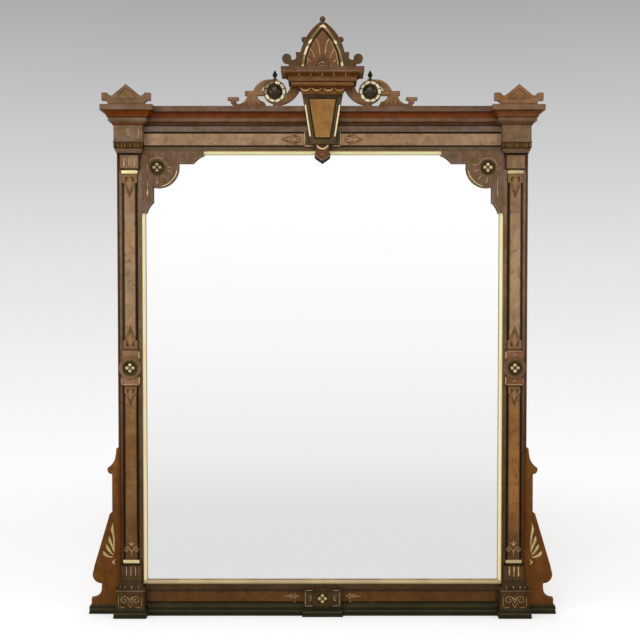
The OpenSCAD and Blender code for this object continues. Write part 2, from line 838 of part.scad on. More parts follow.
// Neck of a capital, with the fillets under its gadroons
module capital_necks() {
    half = neck_w / 2;
    color(walnut) wall() at_pilasters() {
        box(-half, half, carcase_t, neck_d, neck_z0, neck_z1);
        box(-half - 1, half + 1, carcase_t, neck_d + 1, gadroon_z1, neck_z0);
        for (i = [1, 2]) box(-half + i * foot_step - 2, half - i * foot_step + 2, carcase_t,
            neck_d - i * foot_step, gadroon_z0 - i * foot_h, gadroon_z0 - (i - 1) * foot_h);
    }
}

module gadroon_bands() {
    half = neck_w / 2 - 4.5;
    face = neck_d - 2;
    pitch = 2 * half / (gadroon_n - 1);
    r = pitch / 2 + 0.3;
    color(walnut) wall() at_pilasters() {
        box(-half, half, carcase_t, face, gadroon_z0, gadroon_z1);
        run_z(gadroon_z0, gadroon_z1) {
            for (i = [0 : gadroon_n - 1]) translate([i * pitch - half, face]) circle(r);
            for (d = [face - pitch : -pitch : carcase_t + r]) for (x = [-half, half])
                translate([x, d]) circle(r);
        }
    }
}

module capital_cornice_shape() {
    difference() {
        mitred(capital_rows, top_z, neck_w / 2, neck_d);
        box(-outer_x, outer_x - pilaster_x, -1, carcase_t, neck_z1 - 1, top_z + 1);
    }
}

module capital_cornice(s) on_side(s) translate([pilaster_x, 0, 0]) capital_cornice_shape();

module capital_cornice_left() color(walnut) wall() capital_cornice(-1);

module capital_cornice_right() color(walnut) wall() capital_cornice(1);

// Outline of an acroterion: its pediment, its two ears and the notch under each ear
module acroterion_outline() {
    w = acroterion_w / 2;
    ear = [12, 35];
    valley = 26.5;
    difference() {
        pair() polygon([[0, 0], [w - 18, 0], [w - 18, 2], [w - 10, ear[0]], [w, ear[0]], [w, ear[1]],
            [w - 17, ear[1]], [w - 25, valley], [w - 32.5, valley], [0, acroterion_h]]);
        for (s = [-1, 1]) translate([s * (w - 11), ear[0] - 10]) circle(7.6);
    }
}

module acroterion(s) {
    relief = 3;
    line_z = 14;
    on_side(s) translate([pilaster_x, 0, top_z]) {
        plate(acroterion_d - acroterion_t, acroterion_d - relief) acroterion_outline();
        plate(acroterion_d - relief, acroterion_d) difference() {
            acroterion_outline();
            polygon([[-36, line_z], [36, line_z], [0, acroterion_h - 12]]);
        }
        plate(acroterion_d - relief, acroterion_d) intersection() {
            translate([0, line_z]) circle(10);
            area(-12, 12, line_z - 1, line_z + 12);
        }
    }
}

module acroterion_left() color(walnut) wall() acroterion(-1);

module acroterion_right() color(walnut) wall() acroterion(1);

// Front view of the keystone, drawn in by a margin at its sides and by others at its foot and head
function keystone_half(z) = keystone_foot_w / 2
    + (keystone_w - keystone_foot_w) / 2 * (z - keystone_z0) / keystone_h;

module keystone_outline(side = 0, foot = 0, head = 0) {
    z0 = keystone_z0 + foot;
    z1 = keystone_z1 - head;
    polygon([[-keystone_half(z0) + side, z0], [keystone_half(z0) - side, z0],
        [keystone_half(z1) - side, z1], [-keystone_half(z1) + side, z1]]);
}

// A length of rail moulding between the capitals, broken by the keystone
module across_rail() {
    difference() {
        children();
        pair() translate([pilaster_x, 0, 0]) capital_cornice_shape();
        plate(0, depth) keystone_outline();
    }
}

module cornice() {
    color(walnut) wall() across_rail()
        run_x(-rail_end, rail_end) section(cornice_rows, top_z, carcase_t, carcase_t);
}

module bed_moulding() {
    color(red_walnut) wall() across_rail()
        run_x(-rail_end, rail_end) section(bed_rows, bed_z1, carcase_t, carcase_t);
}

module frieze_fascia() {
    color(walnut) wall() across_rail()
        box(-rail_end, rail_end, carcase_t, carcase_t + fascia_t, fascia_z0, fascia_z1);
}

module architrave() {
    color(walnut) wall()
        box(-rail_end, rail_end, carcase_t, carcase_t + architrave_t, frame_z1, architrave_z1);
}

// Burl between the ebonised lines of the frieze, and in the base
module burl_panels() {
    color(burl) wall() pair() {
        box(tablet_w / 2, rail_end, carcase_t, carcase_t + frieze_t,
            architrave_z1 + frieze_line_h, fascia_z0 - frieze_line_h);
        box(base_tablet_half, pilaster_x - scroll_block_x - 1, carcase_t, carcase_t + base_panel_t,
            base_line_z1, base_panel_z1);
    }
}

// Ebonised lines: beside the pilaster panels, round the burl of the frieze and the base,
// round the keystone's panel, and inside the gable's gilt band
module ebonised_lines() {
    color(ebony) wall() {
        at_pilasters() plate(carcase_t, carcase_t + line_t) difference() {
            for (x = [-line_x, panel_x]) area(x, x + line_w, fluted_z1, reeded_z0);
            medallion_outline();
        }
        pair() {
            for (z = [architrave_z1, fascia_z0 - frieze_line_h])
                box(tablet_w / 2, rail_end, carcase_t, carcase_t + frieze_line_t, z, z + frieze_line_h);
            box(base_tablet_half, pilaster_x - scroll_block_x - 1, carcase_t,
                carcase_t + base_panel_t - 3, base_h, base_line_z1);
        }
        plate(keystone_d, keystone_d + 2) difference() {
            keystone_panel_outline(-border_w);
            keystone_panel_outline(0);
        }
        translate([0, 0, hood_z1]) plate(gable_d - gable_recess, gable_d - 2) difference() {
            gable_lancet(gable_band_w);
            gable_lancet(gable_band_w + gable_line_w);
        }
    }
}

// Gilt bars on the pilasters, strips along the keystone's edges, and the band round the gable
module gilt_strips() {
    strip_in = 2;
    z0 = keystone_z0 + 23;
    z1 = keystone_z1 - 32;
    color(gold) wall() {
        at_pilasters() {
            box(-bar_w / 2, bar_w / 2, panel_d, panel_d + bar_t, fluted_z1 + bar_gap,
                fluted_z1 + bar_gap + bar_h);
            box(-bar_w / 2, bar_w / 2, panel_d, panel_d + bar_t, reeded_z0 - bar_gap - bar_h,
                reeded_z0 - bar_gap);
        }
        plate(keystone_d, keystone_d + 1.5) pair() polygon([
            [keystone_half(z0) - strip_in, z0], [keystone_half(z1) - strip_in, z1],
            [keystone_half(z1) - strip_in - edge_strip_w, z1],
            [keystone_half(z0) - strip_in - edge_strip_w, z0]]);
        translate([0, 0, hood_z1]) plate(gable_d, gable_d + 2) difference() {
            gable_lancet(0);
            gable_lancet(gable_band_w);
        }
    }
}

module keystone() color(walnut) wall() plate(carcase_t, keystone_d) keystone_outline();

module keystone_panel_outline(grow) {
    keystone_outline(keystone_margin + grow, keystone_foot_margin + grow, keystone_head_margin + grow);
}

module keystone_panel() {
    color(burl) wall() plate(keystone_d, keystone_d + keystone_panel_t) keystone_panel_outline(0);
}

module tablet_area() area(-tablet_w / 2, tablet_w / 2, architrave_z1, fascia_z0);

module keystone_tablet() {
    color(walnut) wall() plate(carcase_t, tablet_d) difference() {
        tablet_area();
        keystone_outline();
    }
}

// Round apron under the keystone, with the pointed pendant that hangs over the glass
module pendant() {
    half = pendant_w / 2;
    tip = frame_z1 - pendant_l;
    color(walnut) wall() difference() {
        plate(carcase_t + architrave_t, carcase_t + architrave_t + pendant_t) difference() {
            union() {
                translate([0, keystone_z0]) circle(24);
                polygon([[half - 12, frame_z1 + 6], [half - 3, frame_z1 - 8], [half, frame_z1 - 12],
                    [half, frame_z1 - 15], [half - 2.5, frame_z1 - 19], [0, tip],
                    [2.5 - half, frame_z1 - 19], [-half, frame_z1 - 15], [-half, frame_z1 - 12],
                    [3 - half, frame_z1 - 8], [12 - half, frame_z1 + 6]]);
            }
            area(-half, half, keystone_z0, keystone_z0 + 40);
        }
        plate(0, tablet_d) tablet_area();
        plate(0, depth) keystone_outline();
    }
}

// Hollow band under the hood, with a row of round scallops along its front
module scallop_shape() {
    pitch = (keystone_w + scallop_out) / scallop_n;
    difference() {
        union() {
            mitred(scallop_rows, hood_z0, keystone_w / 2, keystone_d);
            plate(keystone_d - 1, keystone_d + scallop_out) intersection() {
                for (i = [0 : scallop_n - 1])
                    translate([(i - (scallop_n - 1) / 2) * pitch, hood_z0]) circle(pitch / 2 - 1.5);
                area(-keystone_w, keystone_w, keystone_z1, hood_z0);
            }
        }
        behind_carcase();
    }
}

module scallop_band() color(red_walnut) wall() scallop_shape();

module hood_shape() {
    difference() {
        mitred(hood_rows, hood_z1, keystone_w / 2, keystone_d);
        box(-keystone_w * 2, keystone_w * 2, -1, crest_back, hood_z0 - 1, hood_z1 + 1);
    }
}

module hood() color(walnut) wall() hood_shape();

module crest_board() {
    half = keystone_w / 2 - 12;
    color(walnut) wall() box(-half, half, crest_back, carcase_t, top_z, hood_z0);
}

// Pointed arch over a straight foot
module gable_arch() {
    area(-gable_half, gable_half, 0, gable_spring);
    intersection() {
        translate([-gable_centre, gable_spring]) circle(gable_r);
        translate([gable_centre, gable_spring]) circle(gable_r);
        area(-gable_half, gable_half, gable_spring, gable_apex + 1);
    }
}

// Flatter pointed arch of the gilt band, drawn in all round by a margin
module gable_lancet(margin) {
    intersection() {
        translate([-lancet_centre, 0]) circle(lancet_r - margin);
        translate([lancet_centre, 0]) circle(lancet_r - margin);
        area(-gable_half, gable_half, 0, gable_apex);
    }
}

// Foot of the gable at one side: a block, a round hollow and a scroll
module gable_ear() {
    x = gable_half;
    difference() {
        union() {
            area(x - 12, x + 12, 0, 57.4);
            polygon([[x - 12, 0], [x + 32, 0], [x + 32, 16], [x + 38, 26], [x + 31, 46], [x - 12, 46]]);
        }
        translate([x + 21, 44]) circle(10.5);
    }
    translate([x + 40, 38.3]) circle(ear_r);
}

module gable_outline() {
    difference() {
        union() {
            gable_arch();
            pair() gable_ear();
        }
        area(-gable_half, gable_half, gable_apex - gable_flat, gable_apex + 10);
    }
}

module gable() {
    color(walnut) wall() translate([0, 0, hood_z1]) difference() {
        plate(gable_d - gable_t, gable_d) gable_outline();
        plate(gable_d - gable_recess, gable_d + 1) gable_lancet(gable_band_w);
    }
}

module gable_panel() {
    color(red_walnut) wall() translate([0, 0, hood_z1])
        plate(gable_d - gable_recess, gable_d - gable_recess + gable_panel_t)
        gable_lancet(gable_band_w + gable_line_w);
}

// Balls on the gable and spires over the scrolls
side_ball = [57, 97.7];

module turned_finials() {
    mid_d = gable_d - gable_t / 2;
    flat_z = hood_z1 + gable_apex - gable_flat;
    spire_d = scroll_d - scroll_t / 2;
    color(walnut) wall() {
        translate([0, mid_d, flat_z]) rotate_extrude() difference() {
            union() {
                translate([0, ball_neck + ball_r]) circle(ball_r);
                area(0, 5.5, 0, ball_neck + 4);
            }
            area(-40, 0, -40, 60);
        }
        pair() difference() {
            translate([side_ball[0], mid_d, hood_z1 + side_ball[1]]) sphere(ball_r);
            translate([0, 0, hood_z1]) plate(0, depth) gable_outline();
        }
        pair() translate([scroll_x, spire_d, top_z + scroll_z + spire_foot]) {
            translate(spire_k * [-7.5, -7.5, 0]) cube(spire_k * [15, 15, 6]);
            translate([0, 0, spire_k * 6]) rotate_extrude() polygon([for (p = [[0, 0], [3.5, 0], [3.5, 4],
                [7.7, 11], [4.5, 17.5], [0, 25]]) spire_k * p]);
        }
    }
}

// Front view of the right bracket, from the middle of the part and the top of the cornice.
// Its points are drawn about the middle of the scroll and grow with the scroll.
function scroll_points(points) = [for (p = points) [scroll_x, scroll_z] + scroll_k * p];

module scroll_disc(middle, r) translate([scroll_x, scroll_z] + scroll_k * middle) circle(scroll_k * r);

module scroll_area(x0, x1, z0, z1) {
    area(scroll_x + scroll_k * x0, scroll_x + scroll_k * x1, scroll_z + scroll_k * z0,
        scroll_z + scroll_k * z1);
}

module scroll_outline() {
    difference() {
        union() {
            scroll_disc([0, 0], 36);
            scroll_area(-22, 6, -scroll_z, 10 - scroll_z);
            scroll_strap();
            scroll_arm();
            scroll_area(-7.5, 18, 30, 38);
            scroll_shelf();
            scroll_corbel();
        }
        area(-500, 500, -90, 0);
    }
}

// Strap that comes down from under the hood and passes below the scroll
module scroll_strap() {
    intersection() {
        difference() {
            scroll_disc([-4.7, 38.7], 80);
            scroll_disc([-4.7, 26.7], 45);
        }
        scroll_area(-90, -0.7, -scroll_z, 30);
    }
}

// Arm that springs from under the spire to the shelf
module scroll_arm() {
    intersection() {
        difference() {
            scroll_disc([17.6, -15], 53);
            scroll_disc([2.6, -9.3], 43);
        }
        scroll_area(4, 90, 1, 60);
    }
}

// Shelf beside the scroll, on its flared foot
module scroll_shelf() {
    low = -10.9;
    difference() {
        polygon(scroll_points([[25, -scroll_z], [34, -30], [50, low], [30, low], [30, 2.5], [93, 2.5],
            [93, low], [90, low], [118, -38], [118, -scroll_z]]));
        intersection() {
            union() {
                scroll_disc([33, -8.5], 22);
                scroll_disc([116, -8], 30);
            }
            scroll_area(0, 150, -scroll_z, low);
        }
    }
}

// Small outer shelf on its corbel
module scroll_corbel() {
    polygon(scroll_points([[113, -scroll_z], [113, -38], [120, -35], [121, -30], [118, -25.5],
        [112.5, -25.5], [112.5, -16.5], [147, -16.5], [147, -25.5], [138, -25.5], [138, -33], [132, -40],
        [130, -scroll_z]]));
}

module scroll_bracket(s) {
    on_side(s) difference() {
        translate([0, 0, top_z]) plate(scroll_d - scroll_t, scroll_d) scroll_outline();
        hood_shape();
        scallop_shape();
    }
}

module scroll_bracket_left() color(walnut) wall() scroll_bracket(-1);

module scroll_bracket_right() color(walnut) wall() scroll_bracket(1);

// Gilt ring of each scroll, in short lengths
module scroll_rings() {
    gap = 1.6;
    color(gold) wall() pair() translate([scroll_x, 0, top_z + scroll_z]) plate(scroll_d, scroll_d + 4)
        difference() {
            circle(boss_r + ring_w + 0.5);
            circle(boss_r + 0.5);
            for (i = [0 : ring_n - 1]) rotate((i + 0.5) * 360 / ring_n)
                area(boss_r - 2, boss_r + ring_w + 3, -gap / 2, gap / 2);
        }
}

module scroll_bosses() {
    color(ebony) wall() pair() difference() {
        translate([scroll_x, scroll_d - 2, top_z + scroll_z]) sphere(boss_r);
        box(0, scroll_x * 2, -1, scroll_d, top_z - 10, top_z + 200);
    }
}

// Outline of a wing, out from the stile and up from the floor
module wing_outline() {
    w = wing_w;
    foot = wing_base_h;
    lobe = [w - 32, foot + 96];
    tip = [22, wing_top - 70];
    difference() {
        union() {
            polygon([[0, foot], [w, foot], [w, foot + 20], [w - 32, foot + 49], [w - 33, foot + 62],
                [w - 32, foot + 68], lobe + [26, 10], lobe + [23, 26], [30, wing_top - 211],
                [22, wing_top - 205], [22, wing_top - 83], [31, wing_top - 61], [10, wing_top - 22],
                [8, wing_top - 3], [3, wing_top], [0, wing_top]]);
            translate(lobe) circle(28.5);
            translate(tip) circle(14.6);
        }
        intersection() {
            hollow([w, foot + 20], [w - 32, foot + 49], 0.75);
            area(w - 33, w + 20, foot + 20, foot + 49);
        }
        hollow([31, wing_top - 61], [10, wing_top - 22], 1.2);
        area(-60, 0, 0, wing_top + 10);
    }
}

module wing(s) on_side(s) translate([outer_x, 0, 0]) plate(wing_face - wing_t, wing_face) wing_outline();

module wing_left() color(red_walnut) wall() wing(-1);

module wing_right() color(red_walnut) wall() wing(1);

// Base moulding: a run between the plinths, its break under the tablet, and returns under the wings
module base_moulding() {
    side = pilaster_x - scroll_block_x;
    base_side = plinth_base_out + 0.7;
    break_out = reach(tablet_base_rows);
    color(ebony) wall() {
        pair() difference() {
            run_x(base_tablet_half, side) section(base_rows, base_h, carcase_t, carcase_t);
            box(side - base_side, side + 1, 0, depth, -1, plinth_base_h);
            box(0, base_tablet_half + break_out, 0, depth, -1, tablet_foot);
        }
        difference() {
            mitred(tablet_base_rows, tablet_foot, base_tablet_half, base_tablet_d);
            behind_carcase();
        }
        pair() difference() {
            translate([outer_x, 0, 0])
                mitred(wing_base_rows, wing_base_h, wing_w, wing_face, wing_base_deep);
            box(-outer_x, outer_x, -1, depth, -1, wing_base_h + 1);
        }
    }
}

module base_tablet_outline() {
    area(-base_tablet_half, base_tablet_half, tablet_foot, base_panel_z1 + 7);
    translate([0, base_mid]) circle(base_disc_r);
}

module base_fascia() {
    end = pilaster_x - scroll_block_x - 1;
    color(walnut) wall() difference() {
        box(-end, end, carcase_t, carcase_t + base_fascia_t, base_panel_z1, frame_z0);
        plate(0, depth) base_tablet_outline();
    }
}

module base_tablet() {
    color(walnut) wall() {
        plate(carcase_t, base_tablet_d) base_tablet_outline();
        plate(base_tablet_d, base_tablet_d + disc_t) translate([0, base_mid]) circle(base_disc_r);
    }
}

module rosette_cups() {
    color(ebony) wall() for (place = rosettes) translate([place[0], place[2], place[1]])
        rotate([-90, 0, 0]) difference() {
            cylinder(h = cup_t, r = cup_r);
            translate([0, 0, cup_t - cup_hollow]) cylinder(h = cup_t, r = cup_r - cup_rim);
        }
}

module rosette_petals() {
    floor_h = cup_t - cup_hollow;
    color(gold) wall() for (place = rosettes)
        translate([place[0], 0, place[1]]) plate(place[2] + floor_h, place[2] + floor_h + petal_t)
            for (a = [0 : 90 : 270]) translate(petal_out * [cos(a), sin(a)]) circle(petal_r);
}

// Outline of a carved leaf that hangs from the origin: a pointed blade between two curls
module leaf(l, w) {
    polygon([[0, -l], [w * 0.17, -l * 0.74], [w * 0.3, -l * 0.46], [w * 0.22, -l * 0.3], [w * 0.34, 0],
        [-w * 0.34, 0], [-w * 0.22, -l * 0.3], [-w * 0.3, -l * 0.46], [-w * 0.17, -l * 0.74]]);
    for (s = [-1, 1]) translate([s * w * 0.34, -l * 0.2]) circle(w * 0.16);
}

module leaf_drops() {
    blade = leaf_w - 2;
    color(walnut) wall() {
        at_pilasters() plate(panel_d, panel_d + leaf_t) {
            translate([0, reeded_z0 - bar_gap - bar_h]) leaf(leaf_l, blade);
            translate([0, medallion_z - medallion_h / 2]) leaf(leaf_l - 8, blade);
            translate([0, medallion_z + medallion_h / 2]) rotate(180) leaf(leaf_l, blade);
        }
        pair() {
            plate(carcase_t + frieze_t, carcase_t + frieze_t + leaf_t)
                translate([tablet_w / 2, frieze_mid]) rotate(90) leaf(frieze_leaf_l, blade);
            plate(carcase_t + base_panel_t, carcase_t + base_panel_t + leaf_t)
                translate([base_tablet_half, (base_line_z1 + base_panel_z1) / 2]) rotate(90)
                leaf(base_leaf_l, blade - 4);
        }
    }
}

stile_left();
stile_right();
top_rail();
bottom_rail();
mirror_plate();
backboards();
glazing_blocks();
back_screws();
hanger_plates();
glue_blocks();
gilt_slip();
spandrel_left();
spandrel_right();
pilaster_panel_left();
pilaster_panel_right();
pilaster_fillets();
edge_mouldings();
reeded_blocks();
medallion_left();
medallion_right();
fluted_blocks();
plinth_block_left();
plinth_block_right();
plinth_bases();
capital_necks();
gadroon_bands();
capital_cornice_left();
capital_cornice_right();
acroterion_left();
acroterion_right();
cornice();
bed_moulding();
frieze_fascia();
burl_panels();
architrave();
ebonised_lines();
gilt_strips();
keystone();
keystone_panel();
keystone_tablet();
pendant();
scallop_band();
hood();
crest_board();
gable();
gable_panel();
turned_finials();
scroll_bracket_left();
scroll_bracket_right();
scroll_rings();
scroll_bosses();
wing_left();
wing_right();
base_moulding();
base_fascia();
base_tablet();
rosette_cups();
rosette_petals();
leaf_drops();
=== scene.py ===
"""Dresses a tall walnut pier mirror with carving, gilding and finishes, and sets it in a pale studio."""

import math

import bmesh
import bpy
import numpy as np
from bpy.props import FloatProperty, FloatVectorProperty, PointerProperty
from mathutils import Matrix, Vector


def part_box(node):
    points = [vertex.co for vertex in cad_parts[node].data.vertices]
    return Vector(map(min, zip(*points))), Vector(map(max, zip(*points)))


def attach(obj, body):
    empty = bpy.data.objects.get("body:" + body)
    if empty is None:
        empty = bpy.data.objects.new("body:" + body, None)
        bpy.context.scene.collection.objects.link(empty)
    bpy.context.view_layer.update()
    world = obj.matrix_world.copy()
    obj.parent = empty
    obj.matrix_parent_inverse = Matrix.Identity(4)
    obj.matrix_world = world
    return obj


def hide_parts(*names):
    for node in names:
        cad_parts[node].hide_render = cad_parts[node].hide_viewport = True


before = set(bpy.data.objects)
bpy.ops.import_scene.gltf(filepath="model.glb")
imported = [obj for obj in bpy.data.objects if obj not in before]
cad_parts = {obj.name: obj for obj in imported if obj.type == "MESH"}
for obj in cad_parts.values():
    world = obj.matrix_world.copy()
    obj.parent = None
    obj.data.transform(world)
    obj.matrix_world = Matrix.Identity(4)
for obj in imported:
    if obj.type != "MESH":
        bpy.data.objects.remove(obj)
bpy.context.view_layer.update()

bl_info = {
    "name": "Pier mirror ornament and finishes",
    "version": (1, 0, 0),
    "blender": (4, 5, 0),
    "location": "View3D > Sidebar > Pier Mirror",
    "description": "Carved leaves, rosettes, scrolls, gilt lines and finishes for a walnut pier mirror",
    "category": "Object",
}

MM = 0.001
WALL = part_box("stile_left")[1][1]  # the plane of the wall, at the back of the frame
MERGE = 1e-6
FLAT = 1e-6  # below this a sine or a share of a width counts as nothing
SHARP = 40.0  # edges that turn more than this, in degrees, are kept sharp
SOFT = 0.7  # half the width over which a band of colour ends, in mm

# Where the ornament stands, in mm: x across, z up, d out from the wall.
PILASTER_X, MEDALLION_Z, PALMETTE_Z = 604.0, 785.0, 205.0
SPANDREL_X, SPANDREL_Z = 518.0, 1413.5
SCROLL_X, SCROLL_Z, SCROLL_D = 148.4, 1646.5, 58.0
FRIEZE_Z, BASE_Z, TABLET_Z = 1500.6, 60.0, 58.5
GABLE_Z, HEAD_Z = 1710.1, 1601.0
WING_D, BASE_D, SPANDREL_D, PANEL_D, LABEL_D = 31.0, 42.0, 43.0, 46.0, 50.0
MEDALLION_D, REEDED_D, DISC_D, FINIAL_D, FLUTED_D = 52.0, 54.0, 56.0, 56.0, 57.0
TABLET_D, GABLE_D, KEYSTONE_D, TABLET_DISC_D, NECK_D, PLINTH_D = 62.0, 62.0, 64.0, 66.0, 71.0, 76.2
DISC_RADIUS, PETAL_LENGTH = 34.5, 15.2
RING_LENGTHS, RING_RADIUS, RING_HALF = 10, 28.1, 16.2  # a gilt ring, with half of each length in degrees


# Colours and settings

def tone(red, green, blue):
    """A display colour, 0 to 255, as the linear colour that shaders use (the sRGB curve)."""
    c = np.array([red, green, blue]) / 255
    return tuple(float(v) for v in np.where(c <= 0.04045, c / 12.92, ((c + 0.055) / 1.055) ** 2.4))


def shade(colour):
    """A linear colour from a display colour, or from the name of one of the user's colours."""
    if isinstance(colour, str):
        return tuple(getattr(bpy.context.scene.pier_colours, colour))
    return tone(*colour)


def length(label, text, default):
    """A length that a user may set, in metres."""
    return FloatProperty(name=label, description=text, default=default, min=0.0, unit="LENGTH", precision=4)


def colour(label, text, red, green, blue):
    """A colour that a user may set, from its display tone."""
    return FloatVectorProperty(name=label, description=text, size=3, min=0.0, max=1.0, subtype="COLOR",
                               default=tone(red, green, blue))


class PierSizes(bpy.types.PropertyGroup):
    """Sizes of the carved and gilded ornament"""
    gilt_line: length("Gilt line", "Half the width of an incised gilt line", 0.0010)
    gilt_rise: length("Gilt rise", "How far the gold stands above the wood", 0.0006)
    cup_radius: length("Rosette radius", "Radius of the dark rosette cups", 0.0235)
    cup_height: length("Rosette height", "How far a rosette cup stands out", 0.004)
    ball_radius: length("Ball radius", "Radius of the ball finials", 0.009)
    boss_radius: length("Boss radius", "Radius of the dark scroll bosses", 0.0229)
    leaf_relief: length("Leaf relief", "How far the carved leaves stand out", 0.004)


class PierColours(bpy.types.PropertyGroup):
    """Colours of the woods, the gold and the glass"""
    # Walnut is set lighter near the top and darker near the floor: painted light above and painted shade
    # below.
    walnut: colour("Walnut", "Polished walnut near the top", 131, 104, 88)
    walnut_foot: colour("Walnut, foot", "Darker walnut near the floor", 88, 66, 42)
    red_walnut: colour("Red walnut", "Reddish mouldings along the pilasters", 88, 52, 22)
    burl: colour("Burl", "Burl of the left pilaster", 160, 132, 102)
    ebony: colour("Ebonised", "Black stained lines and mouldings", 41, 37, 23)
    gold: colour("Gold", "Gilt slip", 255, 244, 194)
    pine: colour("Pine", "Boards and blocks at the back", 186, 150, 104)
    glass: colour("Silvering", "Mirror plate", 255, 255, 255)


class PierStage(bpy.types.PropertyGroup):
    """Floor and light"""
    floor: colour("Floor", "Pale floor", 244, 244, 244)
    sky: FloatProperty(name="Soft light", description="Even light from all round", default=0.45, min=0.0)
    lamps: FloatProperty(name="Lamps", description="Power of the large soft lamps", default=52.0, min=0.0,
                         unit="POWER")


# Places and paths

def front(node):
    """How far out from the wall the front of a part stands, in mm."""
    return (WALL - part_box(node)[0][1]) / MM


def face(node, x, z):
    """How far out a part's front stands at x, z, in mm, by a ray cast at it from the front."""
    hit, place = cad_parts[node].ray_cast((x * MM, WALL - 0.5, z * MM), (0, 1, 0))[:2]
    if not hit:
        raise RuntimeError(f"nothing of {node} at {x:.1f}, {z:.1f}")
    return (WALL - place[1]) / MM


def at(x, z, d):
    """Points in the frame, in metres, from x across, z up and d out from the wall in mm."""
    x, z, d = np.broadcast_arrays(x, z, d)
    return np.stack([x * MM, WALL - d * MM, z * MM], axis=-1)


def eased(n):
    """n steps from 0 to 1, bunched at both ends: half of one less the cosine of an even half turn."""
    return (1 - np.cos(np.linspace(0, np.pi, n))) / 2


def circle(n):
    """n angles spaced evenly round a whole turn, in radians."""
    return np.linspace(0, 2 * np.pi, n, endpoint=False)


def polar(x, z, radius, angle):
    """Points about x, z: the radius times the cosine of the angle, in degrees, across and its sine up."""
    a = np.radians(angle)
    return np.stack([x + radius * np.cos(a), z + radius * np.sin(a)], axis=-1)


def curve(points, n=40):
    """A smooth path through points: between two of them the cubic whose end slopes are half the
    difference of the neighbours, with the steps eased over the whole path."""
    p = np.asarray(points, float)
    p = np.vstack([2 * p[0] - p[1], p, 2 * p[-1] - p[-2]])
    s = eased(n) * (len(p) - 3)
    k = np.minimum(s.astype(int), len(p) - 4)
    t = (s - k)[:, None]
    a, b, c, e = p[k], p[k + 1], p[k + 2], p[k + 3]
    return b + t / 2 * (c - a + t * (2 * a - 5 * b + 4 * c - e + t * (3 * (b - c) + e - a)))


def arc(x, z, radius, start, end, n=40):
    """Points on a circle about x, z from one angle to the other, in degrees, by eased steps."""
    return polar(x, z, radius, start + (end - start) * eased(n))


def spiral(x, z, radius, start, turns):
    """Points on a spiral whose radius falls evenly from the given one to a fifth of it."""
    t = np.linspace(0, 1, 72)
    return polar(x, z, radius * (1 - 0.8 * t), start + 360 * turns * t)


def fan(x, z, inner, outer, angles):
    """Straight rays about x, z between two radii, at angles in degrees."""
    return [polar(x, z, np.array([inner, outer]), angle).tolist() for angle in angles]


def lay(lines, x, z, side=1, up=1):
    """Lines moved to x, z. With side or up at -1 they are first turned over sideways or upside down."""
    return [[(x + side * u, z + up * v) for u, v in line] for line in lines]


def both(lines, x, z):
    """Lines moved to x, z, and the same lines turned over sideways."""
    return lay(lines, x, z) + lay(lines, x, z, -1)


def rounded(n, power=10):
    """Half widths along a bar with round ends: the square root of 1 - |2s - 1| to a high power."""
    return np.sqrt(np.maximum(0, 1 - np.abs(2 * eased(n) - 1) ** power))


def bud(n, fullest):
    """Half widths along a leaf: zero at both ends and one at the fullest place, the sine of a bent s."""
    return np.sin(np.pi * eased(n) ** (math.log(0.5) / math.log(fullest)))


def joined(n, m):
    """The quads of an n by m grid of points that closes on itself across m."""
    index = np.arange(n * m).reshape(n, m)
    after = np.roll(index, -1, axis=1)
    return np.stack([index[:-1], index[1:], after[1:], after[:-1]], -1).reshape(-1, 4)


def placed(name, data):
    """A new object of the scene, from its mesh, lamp or camera."""
    thing = bpy.data.objects.new(name, data)
    bpy.context.scene.collection.objects.link(thing)
    return thing


# Surfaces

